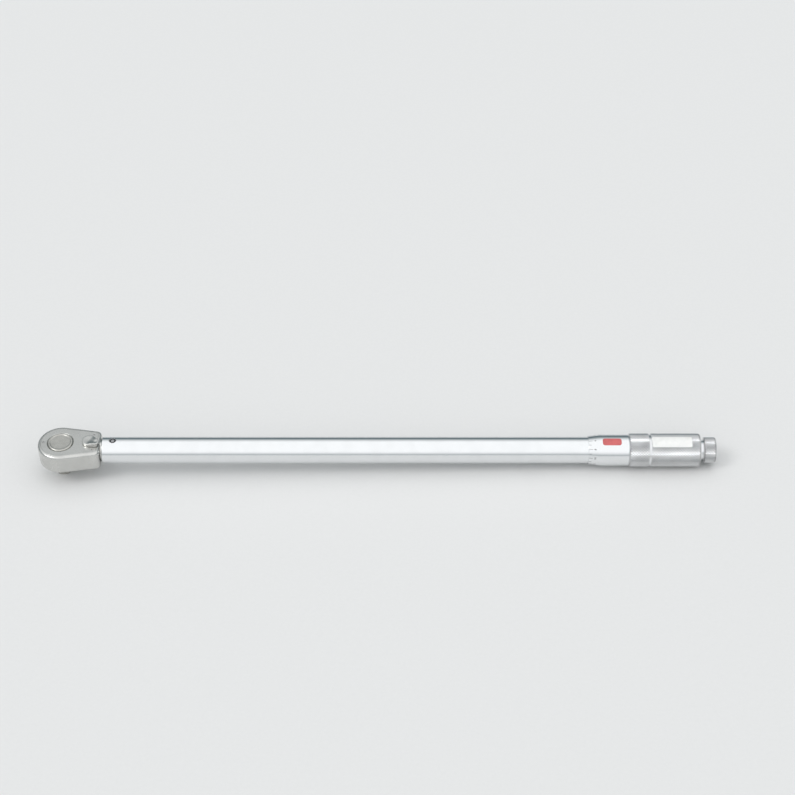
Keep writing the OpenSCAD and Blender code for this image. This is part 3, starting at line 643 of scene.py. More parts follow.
# %% Holes in the head
PIVOT_R = half(span("pivot_pin"), Y)
TOGGLE_R, TOGGLE_GAP = 3, 0.35  # the toggle's round nose, and its room
SCREW_SHANK_R, SCREW_HOLE = 1.26, 8  # the cover's screws: radius of the thread, depth of its hole
SCREW_BEHIND, SCREW_IN = 4, 6.5  # the two at the shoulders: behind the lever, and in from the side
toggle_x = span("toggle_block")[0, X] + TOGGLE_R
screw_x1, screw_y = LEVER_X + SCREW_BEHIND, SHOULDER_W / 2 - SCREW_IN
cover_screws = [(-(gear_room_r + HEAD_R - COVER_INSET) / 2, 0), (screw_x1, -screw_y), (screw_x1, screw_y)]
carve(head, [
    rod((PIVOT_X, 0, AXIS_Z - TUBE_R), (PIVOT_X, 0, AXIS_Z + TUBE_R), PIVOT_R + FIT),
    rod((toggle_x, 0, AXIS_Z - TAIL_T), (toggle_x, 0, AXIS_Z + TAIL_T), TOGGLE_R + TOGGLE_GAP),
    *[rod((x, y, HEAD_Z1 - SCREW_HOLE), (x, y, HEAD_Z1), SCREW_SHANK_R + FIT) for x, y in cover_screws],
])
dress(head, satin_chrome, "head", "satin_chrome", "ratchet_head")

# %% [markdown]
# ## The cover plate
# A plate with three countersunk screws closes the pocket. It could be cut from a block, but it lies in
# the head's recess with an even gap. So it is the same belt, drawn in a little more, with its edges eased
# and a round opening for the gear's back. The holes for the lever's stem and for the screws are cut.

# %% The cover
COVER_HOLE_R = 12.8  # opening for the gear's back
COVER_EASE, RING_EASE = 0.22, 0.7  # eased edges of the plate and of its opening
STEM_R = 3.3  # the lever's stem
SCREW_R, SCREW_GAP = 2.1, 0.03  # heads of the screws, and the slack round them
shank_r, sink_r = SCREW_SHANK_R + SCREW_GAP, SCREW_R + SCREW_GAP
cover = solid("head_cover_plate", shell(np.stack([
    ring_row(COVER_HOLE_R, head_angle, COVER_Z),
    head_row(COVER_INSET + COVER_EASE, COVER_Z),
    head_row(COVER_INSET, COVER_Z + COVER_EASE),
    head_row(COVER_INSET, HEAD_Z1 - COVER_EASE),
    head_row(COVER_INSET + COVER_EASE, HEAD_Z1),
    ring_row(COVER_HOLE_R + RING_EASE, head_angle, HEAD_Z1),
    ring_row(COVER_HOLE_R, head_angle, HEAD_Z1 - RING_EASE),
]), close_rows=True))
sink = np.array([
    (0, -SCREW_HOLE), (shank_r, -SCREW_HOLE), (shank_r, shank_r - sink_r), (sink_r + PAST, PAST),
    (0, PAST),
]) + (0, HEAD_Z1)
carve(cover, [
    rod((LEVER_X, 0, COVER_Z - PAST), (LEVER_X, 0, HEAD_Z1 + PAST), STEM_R + FIT),
    *[shell(spun(sink, spot, columns=48)) for spot in cover_screws],
])
dress(cover, satin_chrome, "head", "satin_chrome", "head_cover")

# %% [markdown]
# ## The gear and its round back
# The ratchet gear, its round back and the square drive are one piece of steel. Seen from above, every
# level of the gear is a radius for each angle: a circle for the back and the bearing, and 48 teeth for
# the ratchet. So it is a stack of rows, each with its own radius, and the columns fall on the teeth's
# corners. Cutting 48 teeth out of a round would take far longer. Corners that a lathe leaves are eased,
# because no real edge is perfectly sharp.

# %% Eased corners
EASE_SHARE = 0.45  # an eased corner takes at most this share of its shorter side


def rounded(profile, radius, close=False, steps=6):
    """A line of corners with each corner eased: a quadratic curve (1-t)^2 a + 2t(1-t) p + t^2 b, which
    starts and ends one radius from the corner p, or nearer where a side is short."""
    p = np.asarray(profile, float)
    back, on = np.roll(p, 1, 0) - p, np.roll(p, -1, 0) - p
    back_len, on_len = np.linalg.norm(back, axis=1), np.linalg.norm(on, axis=1)
    reach = np.minimum(np.broadcast_to(radius, len(p)), EASE_SHARE * np.minimum(back_len, on_len))
    if not close:
        reach[[0, -1]] = 0
    a = p + back * (reach / back_len)[:, None]
    b = p + on * (reach / on_len)[:, None]
    t = np.linspace(0, 1, steps)[:, None]
    curves = (1 - t) ** 2 * a[:, None] + 2 * t * (1 - t) * p[:, None] + t**2 * b[:, None]
    return curves.reshape(-1, 2)


print("an eased square has", len(rounded([(0, 0), (1, 0), (1, 1), (0, 1)], 0.1, close=True)), "points")

# %% The gear
TEETH, TOOTH_DEPTH, GEAR_TIP_R = 48, 1, GEAR[1, Y]
DRIVE_TIP, BACK_TOP = GEAR[:, Z]
BACK_R = GEAR_TIP_R - TOOTH_DEPTH - PASS
TIP_FLAT = (0.44, 0.56)  # where a tooth's flat tip starts and ends, as shares of a tooth
RIM_W, RIM_H, BACK_EASE, JOURNAL_EASE = 2.2, 0.4, 0.6, 0.3  # the raised rim of the back, and eased edges
gear_z0, gear_z1 = WASHER[1, Z] + SEAT, COVER_Z - PASS
along_tooth = np.array([0, 0.15, 0.3, TIP_FLAT[0], 0.5, TIP_FLAT[1], 0.7, 0.85])
tooth_share = np.tile(along_tooth, TEETH)
gear_angle = (np.repeat(np.arange(TEETH), len(along_tooth)) + tooth_share) * 2 * np.pi / TEETH
tooth_r = np.interp(tooth_share, [0, *TIP_FLAT, 1], GEAR_TIP_R - TOOTH_DEPTH * np.array([1, 0, 0, 1]))
back_profile = rounded([
    (0, BACK_TOP - RIM_H), (BACK_R - RIM_W - RIM_H, BACK_TOP - RIM_H), (BACK_R - RIM_W, BACK_TOP),
    (BACK_R - BACK_EASE, BACK_TOP), (BACK_R, BACK_TOP - BACK_EASE), (BACK_R, gear_z1),
], radius=0.25, steps=4)
levels = [
    *back_profile, (tooth_r, gear_z1), (tooth_r, gear_z0),
    (JOURNAL_R, gear_z0), (JOURNAL_R, JOURNAL_EASE), (JOURNAL_R - JOURNAL_EASE, 0), (0, 0),
]
gear = solid("gear_and_drive", shell(np.stack([ring_row(r, gear_angle, z) for r, z in levels])))
print("gear with", TEETH, "teeth from", gear_z0, "to", gear_z1, "and a back of radius", round(BACK_R, 2))

# %% [markdown]
# ## The square drive and its ball
# The square fits the socket, and a sprung ball holds it there. A cube with a Bevel modifier would round
# every edge alike. Here the square is a belt round four small circles, drawn out into a block. A cone
# takes off the corners at its tip, as on a lathe, and the ball's bore is cut across it.

# %% The drive
DRIVE_HALF = 12.7 / 2  # half the side of a half-inch square
CORNER_CUT, TIP_EASE = 0.6, 0.2  # what the rounding takes off a corner, and the cone's width past the flats
BALL = span("detent_ball")
BALL_R, BALL_Z = half(BALL, Z), BALL[:, Z].mean()
BALL_BORE_X1 = 3.55  # end of the ball's bore, past the drive's axis
ball_travel = joint("detent_press")["range_m"][1] / MM
ball_x = BALL_R - DRIVE_HALF - ball_travel
corner_r = CORNER_CUT / (np.sqrt(2) - 1)
corners = (DRIVE_HALF - corner_r) * np.array([(-1, -1), (1, -1), (1, 1), (-1, 1)])
square, _, _ = belt([(x, y, corner_r) for x, y in corners], per_arc=13, per_side=1)
tip_r, cone_r, cone_top = DRIVE_HALF + TIP_EASE, DRIVE_HALF * np.sqrt(2), 2 * PAST
cone_line = [
    (0, DRIVE_TIP), (tip_r, DRIVE_TIP), (cone_r, DRIVE_TIP + cone_r - tip_r), (cone_r, cone_top),
    (0, cone_top),
]
drive = solid("square_drive", prism(square, DRIVE_TIP - PAST, PAST))
carve(drive, [shell(spun(rounded(cone_line, radius=0.3)))], "INTERSECT")
carve(gear, [drive], "UNION")
carve(gear, [rod((-2 * DRIVE_HALF, 0, BALL_Z), (BALL_BORE_X1, 0, BALL_Z), BALL_R + SEAT)])
dress(gear, gear_back, "drive", "satin_chrome", "drive_gear")

# %% The ball
half_circle = np.linspace(-np.pi / 2, np.pi / 2, 25)
ball_profile = np.column_stack([BALL_R * np.cos(half_circle), BALL_Z + BALL_R * np.sin(half_circle)])
ball = solid("socket_ball", shell(spun(ball_profile, (ball_x, 0), columns=48)))
dress(ball, ball_steel, "detent", "ball_steel", "detent_ball")

# %% [markdown]
# ## The reversing lever
# The thumb turns this lever to change the ratchet's direction. A sculpted block would do, but the belt
# gives the outline at once: a large circle over the stem and a small one at the tip. Its rows go up the
# side, round the edge, and then inwards to the line between the two hubs, where the belt folds onto
# itself. The top rises towards the tip and is hollowed a little for the thumb. The post below it and the
# plunger's bore are joined and cut.

# %% The thumb piece
LEVER_BASE_R, LEVER_TIP_R = 7, 4  # radii over the stem and at the tip
LEVER_EDGE, EDGE_SHARE = 0.8, 0.22  # the rounded upper edge: its width, and its share of the height
FOOT_EASE, FOOT_SHARE = 0.3, 0.08  # the eased lower edge, in the same way
BASE_SHARE = 0.7  # height over the stem as a share of the height at the tip
LEVER_DISH, DISH_AT_BASE = 0.45, 0.4  # depth of the hollow at the tip, and its share over the stem
thumb_z0, thumb_z1 = HEAD_Z1 + PASS, span("reversing_lever")[1, Z]
thumb_x = HEAD_LEN - LEVER_X - LEVER_TIP_R
thumb_circles = [(0, 0, LEVER_BASE_R), (thumb_x, 0, LEVER_TIP_R)]
thumb_path, thumb_normal, thumb_hub = belt(thumb_circles, per_arc=48, per_side=20)


def thumb_row(inset, fold, height):
    """A row of the thumb piece: the belt drawn in by an inset and then a share of the way to its hubs.
    The height is a share of the way up, where the top rises smoothly from the base to the tip."""
    flat = (1 - fold) * (thumb_path - inset * thumb_normal) + fold * thumb_hub
    t = np.clip(flat[:, X] / thumb_x, 0, 1)
    rise = t * t * (3 - 2 * t)
    top = (thumb_z1 - thumb_z0) * (BASE_SHARE + (1 - BASE_SHARE) * rise)
    deep = LEVER_DISH * (DISH_AT_BASE + (1 - DISH_AT_BASE) * rise)
    dish = deep * np.sin(fold * np.pi / 2) ** 2 * (height >= 1)
    return np.column_stack([flat, thumb_z0 + top * height - dish])


rim_turn = np.linspace(0, np.pi / 2, 8)
thumb_rim = np.column_stack([LEVER_EDGE * (1 - np.cos(rim_turn)), 1 - EDGE_SHARE * (1 - np.sin(rim_turn))])
thumb = np.stack([
    thumb_row(FOOT_EASE, 1, 0), thumb_row(FOOT_EASE, 0, 0), thumb_row(0, 0, FOOT_SHARE),
    *[thumb_row(inset, 0, height) for inset, height in thumb_rim],
    *[thumb_row(LEVER_EDGE, fold, 1) for fold in np.linspace(0, 1, 10)[1:]],
])
print("thumb piece", thumb.shape[:2], "rows and columns, up to", thumb[..., Z].max().round(2))

# %% The lever's post and bore
PLUNGER_R, PLUNGER_Z = 1.5, (FLOOR_Z + COVER_Z) / 2
SPRING_END = 2.5  # where the plunger's spring ends, behind the lever's axis
lever_turn = -np.radians(np.ptp(joint("lever_flip")["range_deg"]) / 2)


def at_lever(points):
    """Points turned to the lever's rest setting about its axis, then moved onto it."""
    c, s = np.cos(lever_turn), np.sin(lever_turn)
    x, y, z = np.moveaxis(points, -1, 0)
    return np.stack([LEVER_X + c * x - s * y, s * x + c * y, z], -1)


post_z0, post_z1, stem_z1 = FLOOR_Z + PASS, COVER_Z - PASS, thumb_z0 + PAST
post = spun([
    (0, post_z0), (POST_R, post_z0), (POST_R, post_z1), (STEM_R, post_z1), (STEM_R, stem_z1), (0, stem_z1),
], (LEVER_X, 0), columns=64)
bore_ends = at_lever(np.array([(SPRING_END + SEAT, 0, PLUNGER_Z), (-2 * POST_R, 0, PLUNGER_Z)]))
lever = solid("thumb_lever", shell(at_lever(thumb)))
carve(lever, [shell(post)], "UNION")
carve(lever, [rod(*bore_ends, PLUNGER_R + FIT)])
dress(lever, satin_chrome, "lever", "satin_chrome", "reversing_lever")

# %% [markdown]
# ## The tube
# The tube is drawn steel, chromed. A plain cylinder would have knife edges and no wall, so it is a half
# section with its wall and its eased mouths, turned into a ring. The holes for the pivot pin and for the
# two pins of the adjusting nut are cut. The pivot pin's hole is countersunk, because the pin's end sits a
# little below the surface.

# %% The tube
MOUTH = 0.6  # eased mouths of the tube
PIN_SUNK = 0.35  # depth of the pin's end below the surface
NUT_PINS = span("nut_pins")
tube_in_r, nut_pin_x, nut_pin_r = TUBE_R - TUBE_WALL, NUT_PINS[:, X].mean(), half(NUT_PINS, X)
tube_line = rounded([
    (TUBE_X0, tube_in_r + MOUTH), (TUBE_X0, TUBE_R - MOUTH), (TUBE_X0 + MOUTH, TUBE_R),
    (TUBE_X1 - MOUTH, TUBE_R), (TUBE_X1, TUBE_R - MOUTH), (TUBE_X1, tube_in_r),
    (TUBE_X0 + MOUTH, tube_in_r),
], radius=0.25, close=True, steps=4)
tube = solid("tube_chromed", shell(turned(tube_line, columns=192), close_rows=True))
sunk_low, sunk_rim = -TUBE_R - PAST, np.array([PIVOT_R + PASS, TUBE_R - FIT])
sunk = np.array([
    (0, sunk_low), (PIVOT_R + FIT, sunk_low), (PIVOT_R + FIT, TUBE_R - PIN_SUNK),
    sunk_rim, sunk_rim + PAST, (0, sunk_rim[1] + PAST),
]) + (0, AXIS_Z)
carve(tube, [
    shell(spun(sunk, (PIVOT_X, 0), columns=64)),
    rod((nut_pin_x, -TUBE_R - PAST, AXIS_Z), (nut_pin_x, TUBE_R + PAST, AXIS_Z), nut_pin_r + FIT),
])
dress(tube, bright_chrome, "tube_body", "bright_chrome", "tube")

# %% [markdown]
# ## The pivot pin
# The head swings in the tube on this pin. Its end is bright steel with a groove round the middle, which
# is painted black, partly as black oxide that stays when the rest is polished and partly as painted shade
# in the groove, so it shows as a dark ring with a lighter middle. The groove is in the mesh. Its black
# could be a second material on some of the faces, but that would end in a hard line. So the distance from
# the pin's axis gives it, between the groove's two radii.

# %% The pin's steel
PIN_RING = (2.95, 2.0)  # outer and inner radius of the groove
RING_FADE = (0.1, 0.2)  # how far the black takes to end there
# the groove's black colour is partly black oxide and partly painted shade for the shade in the groove
PIN_BRIGHT, PIN_OXIDE_AND_SHADE = (0.42, 0.42, 0.43), (0.05, 0.05, 0.052)
PIN_ROUGH, PIN_GRAIN, PIN_GRAIN_MM = 0.32, 0.1, 0.4  # roughness, what the grain adds, and its size


def ring_steel(name, x, outer, inner):
    """Steel with a ring painted black between two radii about an upright axis at x, as black oxide and as
    painted shade in the groove: the product of a smooth step at its inner edge and one at its outer edge."""
    finish = Finish(name)
    r = finish.from_axis((x, 0, 0), (1, 1, 0))
    # painted shade and oxide: the ring between the two radii is painted black
    inside = finish.between(r, (inner - RING_FADE[1]) * MM, inner * MM)
    oxide_and_shade = inside * finish.between(r, outer * MM, (outer - RING_FADE[0]) * MM)
    return finish.surface(
        Base_Color=finish.blend(oxide_and_shade, shade(PIN_BRIGHT), shade(PIN_OXIDE_AND_SHADE)),
        Metallic=1.0,
        Roughness=PIN_ROUGH + PIN_GRAIN * finish.noise(PIN_GRAIN_MM, GRAINY),
    )


pin_steel = ring_steel("pin_steel", PIVOT_X, *PIN_RING)
print("finish", pin_steel.name, "black between radii", PIN_RING)

# %% The pin
RING_DEPTH, RING_DRAFT = 0.9, 0.1  # depth of the groove, and slant of its outer wall
PIN_EASE, PIN_CHAMFER = 0.15, (0.15, 0.2)  # eased edges of the middle, and of the pin's rim
pin_top, (pin_out, pin_in) = TUBE_R - PIN_SUNK, PIN_RING
pin_half = np.array([
    (0, pin_top + PIN_EASE), (pin_in - 2 * PIN_EASE, pin_top + PIN_EASE), (pin_in, pin_top - PIN_EASE),
    (pin_in + PIN_EASE, pin_top - RING_DEPTH), (pin_out - RING_DRAFT, pin_top - RING_DEPTH),
    (pin_out, pin_top), (PIVOT_R - PIN_CHAMFER[0], pin_top), (PIVOT_R, pin_top - PIN_CHAMFER[1]),
])
pin_both = np.concatenate([pin_half, (pin_half * (1, -1))[::-1]]) + (0, AXIS_Z)
pin_line = rounded(pin_both, radius=0.2, steps=4)
pin = solid("pivot_pin_riveted", shell(spun(pin_line, (PIVOT_X, 0), columns=64)))
dress(pin, pin_steel, "tube_body", "dark_steel", "pivot_pin")

# %% [markdown]
# ## The thimble
# The thimble slides over the tube with the handle, and its bevelled front carries the fine scale. It is
# turned, so one half section makes the bevel, the end that goes into the grip, and the groove inside for
# the seal, with nothing left to cut.

# %% The thimble
THIMBLE, GRIP, SEAL = span("thimble"), span("handle_grip"), span("thimble_seal")
BEVEL_LEN, LIP, THIMBLE_EASE = 12, 0.5, 0.5  # length of the bevel, height of its edge, eased rear edge
THIMBLE_R, GRIP_R = half(THIMBLE, Y), half(GRIP, Y)
thimble_x0, thimble_x1 = THIMBLE[0, X], GRIP[0, X] - SEAT
slide_r, spigot_x1 = TUBE_R + PASS, THIMBLE[1, X]
spigot_r = (slide_r + GRIP_R) / 2
seal_x, seal_half, seal_r = SEAL[:, X].mean(), half(SEAL, X) + SEAT, half(SEAL, Z) + SEAT
thimble_line = rounded([
    (thimble_x0, slide_r), (thimble_x0, slide_r + LIP), (thimble_x0 + BEVEL_LEN, THIMBLE_R),
    (thimble_x1 - THIMBLE_EASE, THIMBLE_R), (thimble_x1, THIMBLE_R - THIMBLE_EASE), (thimble_x1, spigot_r),
    (spigot_x1, spigot_r), (spigot_x1, slide_r), (seal_x + seal_half, slide_r),
    (seal_x + seal_half, seal_r), (seal_x - seal_half, seal_r), (seal_x - seal_half, slide_r),
], radius=0.2, close=True, steps=4)
thimble = solid("thimble_sleeve", shell(turned(thimble_line, columns=192), close_rows=True))
dress(thimble, bright_chrome, "handle", "bright_chrome", "thimble")

# %% [markdown]
# ## The knurl
# A diamond knurl is a field of small pyramids, rolled into the metal so that the hand doesn't slip. A
# bump in the material would show it from afar only. On a grid of points where every second one is high,
# as on a chessboard, and with each face split between its two low corners, every high point becomes the
# tip of a pyramid. So a real knurl costs no more than two triangles a square.

# %% A knurled round
KNURL_STEP, KNURL_DEPTH = 1.4, 0.6  # half the length of a diamond, and its height


def even_steps(length):
    """The even number of steps of about half a diamond that fit in a length."""
    return 2 * int(round(length / (2 * KNURL_STEP)))


def diamonds(rows, columns):
    """Three-sided faces of a chessboard grid: each square a, b, c, d is split between its two low
    corners."""
    a, b, c, d = quads(rows, columns).T
    high = ((a // columns + a % columns) % 2 == 1)[:, None]
    first = np.where(high, np.stack([a, b, d], -1), np.stack([a, b, c], -1))
    second = np.where(high, np.stack([b, c, d], -1), np.stack([a, c, d], -1))
    return np.concatenate([first, second])


def knurled(name, x0, x1, tip_r, chamfer):
    """A closed knurled round from x0 to x1. The radius is the tips' radius, less the knurl's depth at every
    second point, and at each end the rows go in over the chamfer to a pole."""
    collar = chamfer - KNURL_DEPTH
    inner = np.linspace(x0 + collar, x1 - collar, even_steps(x1 - x0 - 2 * collar) + 1)
    x = np.concatenate([[x0, x0], inner, [x1, x1]])[:, None]
    row, column = np.indices((len(x), even_steps(2 * np.pi * tip_r)))
    r = tip_r - KNURL_DEPTH * ((row + column) % 2 == 0)
    r[[2, -3]] = tip_r - KNURL_DEPTH
    r[[1, -2]] = tip_r - chamfer
    r[[0, -1]] = 0
    grid = around(x, r, column * 2 * np.pi / column.shape[1])
    return solid(name, shell(grid, faces=diamonds(*r.shape)))


print("a knurl round the grip has", even_steps(2 * np.pi * GRIP_R) // 2, "diamonds")

# %% [markdown]
# ## Knurled chrome
# A knurl is plated like the rest, but its valleys hold grime. Painting that by hand on thousands of
# diamonds is hopeless, so the distance from the tube's axis finds the valleys.

# %% Chrome with grime in its valleys
VALLEY, BELOW = (0.5, 1.0), (1.1, 1.3)  # where grime grows and where it ends, as shares of the depth
GRIME_MM, GRIME_EDGE, GRIME_SHARE = 9, (0.25, 0.7), (0.45, 0.85)  # its clouds, their edges and its amounts
KNURL_TINT, GRIME_TINT = (0.77, 0.78, 0.79), (0.16, 0.155, 0.15)
KNURL_ROUGH, GRIME_ROUGH, CLOUD_ROUGH = 0.16, 0.35, 0.08  # roughness, and what grime and clouds add


def knurled_chrome(name, tip_r):
    """Chrome with grime in its valleys: the grime grows as the distance from the tube's axis falls from the
    tips to the valleys, and is gone again below them, on end faces and in grooves."""
    finish = Finish(name)
    r = finish.from_axis((0, 0, AXIS_Z), (0, 1, 1))
    valley = finish.between(r, *[(tip_r - share * KNURL_DEPTH) * MM for share in VALLEY])
    below = finish.between(r, *[(tip_r - share * KNURL_DEPTH) * MM for share in BELOW])
    cloud = finish.noise(GRIME_MM, CLOUDY)
    grime = valley * (1 - below) * finish.between(cloud, *GRIME_EDGE, *GRIME_SHARE)
    return finish.surface(
        Base_Color=finish.blend(grime, shade(KNURL_TINT), shade(GRIME_TINT)),
        Metallic=1.0,
        Roughness=KNURL_ROUGH + GRIME_ROUGH * grime + CLOUD_ROUGH * cloud,
    )


grip_chrome = knurled_chrome("knurled_chrome", GRIP_R)
print("finish", grip_chrome.name, "with grime from", VALLEY[0], "of the depth down")

# %% [markdown]
# ## Bent plates
# The label, the plate and the bed that the plate lies in are rounded rectangles bent round the handle. A
# flat piece with a Simple Deform modifier would bend about the wrong axis as soon as it is tilted. A belt
# round four corner circles, scaled from its middle outwards, has a row for every ring, and each point is
# then set at its angle.

# %% A badge
BADGE_RINGS, BADGE_IN = 8, 0.96  # flat rings on each side, and the size of the last
BADGE_RIM = (0.985, 1, 1)  # sizes of the rings over the edge
BADGE_DROP = np.array([0.02, 0.1])  # how far the first two of those lie below the top


def badge(x0, x1, width, low_r, high_r, corner, tilt):
    """A rounded rectangle bent round the handle: a belt round four corner circles, whose rings grow from
    the middle, drop over the edge to the lower radius and shrink back to the middle."""
    hx, hy = (x1 - x0) / 2 - corner, width / 2 - corner
    circles = [(-hx, -hy, corner), (hx, -hy, corner), (hx, hy, corner), (-hx, hy, corner)]
    flat, _, _ = belt(circles, per_arc=10, per_side=24)
    inner = np.linspace(0, BADGE_IN, BADGE_RINGS)
    sizes = np.concatenate([inner, BADGE_RIM, inner[::-1]])
    heights = np.concatenate([inner * 0 + high_r, high_r - BADGE_DROP, [low_r], inner * 0 + low_r])
    u, v = np.moveaxis(sizes[:, None, None] * flat, -1, 0)
    return shell(around((x0 + x1) / 2 + u, heights[:, None], tilt + v / low_r))


print("a badge has", 2 * BADGE_RINGS + len(BADGE_RIM), "rings")

# %% [markdown]
# ## The knurled grip
# The grip is a knurled sleeve with a plain groove round it and a flat bed for the plate. The knurl is
# made as a full round first, and then the bore, the groove, the bed and the hole of the set screw are cut
# out of it, as they are on the real one.

# %% The grip
CHAMFER, BORE_END_EASE = 1.2, 0.4  # chamfer at both ends of a knurl, and eased rear end of the bore
KNURL_CREASE = 20  # the edges of a diamond are blunter than other creases
GROOVE_DEPTH, GROOVE_W, GROOVE_AHEAD = 0.8, 2.4, 0.6  # the groove, and how far ahead of the plate it ends
PLATE, PLATE_W, PLATE_CORNER = span("grip_plate"), 12, 1.2
BED_GAP = 0.2  # slack round the plate in its bed
LABEL_TILT = np.radians(14)  # label and plate are turned this far from the top towards the front
grip_x0, grip_x1 = GRIP[:, X]
plate_x0, plate_x1 = PLATE[:, X]
groove_x1, groove_r = plate_x0 - GROOVE_AHEAD, GRIP_R - GROOVE_DEPTH
groove_x0 = groove_x1 - GROOVE_W
bore_step = spigot_x1 + SEAT
bore_line = [
    (grip_x0 - PAST, 0), (grip_x0 - PAST, spigot_r + FIT), (bore_step, spigot_r + FIT),
    (bore_step, slide_r), (grip_x1 - BORE_END_EASE, slide_r),
    (grip_x1 + PAST, slide_r + BORE_END_EASE + PAST), (grip_x1 + PAST, 0),
]
groove_line = rounded([
    (groove_x0, groove_r), (groove_x1, groove_r), (groove_x1, GRIP_R + PAST), (groove_x0, GRIP_R + PAST),
], radius=0.3, close=True)
bed = badge(plate_x0 - BED_GAP, plate_x1 + BED_GAP, PLATE_W + 2 * BED_GAP, groove_r, GRIP_R + PAST,
            PLATE_CORNER + BED_GAP, LABEL_TILT)
HUB_SCREW = span("hub_screw")
screw_x, screw_hole_r = HUB_SCREW[:, X].mean(), half(HUB_SCREW, X) + FIT
screw_hole = rod((screw_x, slide_r - PAST, AXIS_Z), (screw_x, GRIP_R + PAST, AXIS_Z), screw_hole_r)
grip = knurled("grip_knurled", grip_x0, grip_x1, GRIP_R, CHAMFER)
carve(grip, [shell(turned(bore_line)), shell(turned(groove_line), close_rows=True), bed, screw_hole])
dress(grip, grip_chrome, "handle", "knurled_chrome", "handle_grip", crease=KNURL_CREASE)

# %% [markdown]
# ## The lock knob
# The knob at the end locks the setting. Its rim has the same knurl, so the same function makes it. A
# turned neck with its stud is joined to it, and a shallow ring is cut into its end face.

# %% The knob
KNOB = span("lock_knob")
KNOB_R, KNOB_GAP, STUD_R = half(KNOB, Y), 0.4, 3  # the rim, its gap to the grip, and the stud
NECK_LEN, NECK_IN = 3, 3  # the plain neck between grip and rim, and how much thinner it is
RING_IN, RING_W, END_RING_DEPTH = 3.9, 1.1, 0.5  # the ring in the end face
stud_x0, knob_x1 = KNOB[:, X]
knob_x0 = grip_x1 + KNOB_GAP
rim_x0, knob_neck_r = knob_x0 + NECK_LEN, KNOB_R - NECK_IN
neck_line = rounded([
    (stud_x0, 0), (stud_x0, STUD_R), (knob_x0, STUD_R), (knob_x0, knob_neck_r),
    (rim_x0 + PAST, knob_neck_r), (rim_x0 + PAST, 0),
], radius=0.3, steps=4)
ring_x, ring_out, flare = knob_x1 - END_RING_DEPTH, KNOB_R - RING_IN, END_RING_DEPTH + PAST
ring_in = ring_out - RING_W
ring_line = rounded([
    (ring_x, ring_in), (ring_x, ring_out),
    (ring_x + flare, ring_out + flare), (ring_x + flare, ring_in - flare),
], radius=0.3, close=True)
knob = knurled("knob_knurled", rim_x0, knob_x1, KNOB_R, CHAMFER)
carve(knob, [shell(turned(neck_line, columns=96))], "UNION")
carve(knob, [shell(turned(ring_line, columns=96), close_rows=True)])
knob_chrome = knurled_chrome("knob_chrome", KNOB_R)
dress(knob, knob_chrome, "lock", "knurled_chrome", "lock_knob", crease=KNURL_CREASE)

# %% [markdown]
# ## Label and plate
# A plain red label sits on the thimble, and a blank white plate in its bed on the grip. Both are badges
# with a real thickness, because a coloured patch in the material would have no edge to catch the light.

# %% The label and the plate
LABEL, LABEL_W, LABEL_CORNER = span("thimble_label"), 8, 2.4
LABEL_SUNK, LABEL_PROUD = 0.2, 0.15  # below and above the thimble
PLATE_SUNK = 0.3  # below the knurl's tips
label_low, label_high = THIMBLE_R - LABEL_SUNK, THIMBLE_R + LABEL_PROUD
label = solid("red_label", badge(*LABEL[:, X], LABEL_W, label_low, label_high, LABEL_CORNER, LABEL_TILT))
dress(label, label_red, "handle", "label_red", "thimble_label")
plate_high = GRIP_R - PLATE_SUNK
plate = solid("white_plate", badge(*PLATE[:, X], PLATE_W, groove_r, plate_high, PLATE_CORNER, LABEL_TILT))
dress(plate, plate_white, "handle", "plate_white", "grip_plate")

# %% [markdown]
# ## Springs
# A spring is a round wire wound into a helix. A curve with a bevel would make it too, but its ends would
# stay open. Here a circle is carried along the helix, and a pole closes each end. The first and last
# turns lie nearly closed, so the height runs slowly there.

# %% A coil
END_GAP = 0.5  # gap between the wires of an end turn


def coil(r, wire, length, turns, rings=32, sides=12):
    """A coil along X from 0: the middle is (h(t), r cos 2 pi t, r sin 2 pi t), with one closed turn at each
    end, and a circle of the wire's radius stands on it. Poles close both ends."""
    t = np.linspace(0, turns, int(turns * rings) + 1)
    low, closed = wire / 2, wire + END_GAP
    h = np.interp(t, [0, 1, turns - 1, turns], [low, low + closed, length - low - closed, length - low])
    a, b = 2 * np.pi * t[:, None], 2 * np.pi * np.arange(sides) / sides
    x, out = h[:, None] + wire / 2 * np.sin(b), r + wire / 2 * np.cos(b)
    grid = np.stack(np.broadcast_arrays(x, out * np.cos(a), out * np.sin(a)), -1)
    middle = np.broadcast_to(grid.mean(1, keepdims=True), grid.shape)
    return np.concatenate([middle[:1], grid, middle[-1:]])


def spring(name, points, body, node):
    """A coil as a dressed piece of spring steel."""
    piece = solid(name, shell(points))
    dress(piece, spring_steel, body, "spring_steel", node)
    return piece


print("a coil of 3 turns has", coil(r=1, wire=0.1, length=9, turns=3).shape[:2], "rows and columns")

# %% The main spring
MAIN, MAIN_WIRE, MAIN_TURNS = span("main_spring"), 4.2, 24
main_r, main_len = half(MAIN, Y) - MAIN_WIRE / 2, np.ptp(MAIN[:, X])
seat_travel = joint("seat_slide")["range_m"][1] / MM
main_coil = coil(main_r, MAIN_WIRE, main_len, MAIN_TURNS) + (MAIN[0, X], 0, AXIS_Z)
main_spring = spring("main_spring_coil", main_coil, "tube_body", "main_spring")
1 - seat_travel / main_len
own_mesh(main_spring)

# %% The ball's spring
DETENT, DETENT_WIRE, DETENT_TURNS = span("detent_spring"), 0.5, 4
DETENT_IN = 0.6  # how much smaller than the ball it is
detent_len = np.ptp(DETENT[:, X])
detent_coil = coil(BALL_R - DETENT_IN, DETENT_WIRE, detent_len, DETENT_TURNS) + (DETENT[0, X], 0, BALL_Z)
detent_spring = spring("socket_ball_spring", detent_coil, "drive", "detent_spring")
1 - ball_travel / detent_len
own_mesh(detent_spring)

# %% The lever's spring
lever_coil = coil(r=1.0, wire=0.4, length=3.4, turns=3) * (-1, -1, 1) + (SPRING_END, 0, PLUNGER_Z)
spring("lever_spring_coil", at_lever(lever_coil), "lever", "lever_spring")

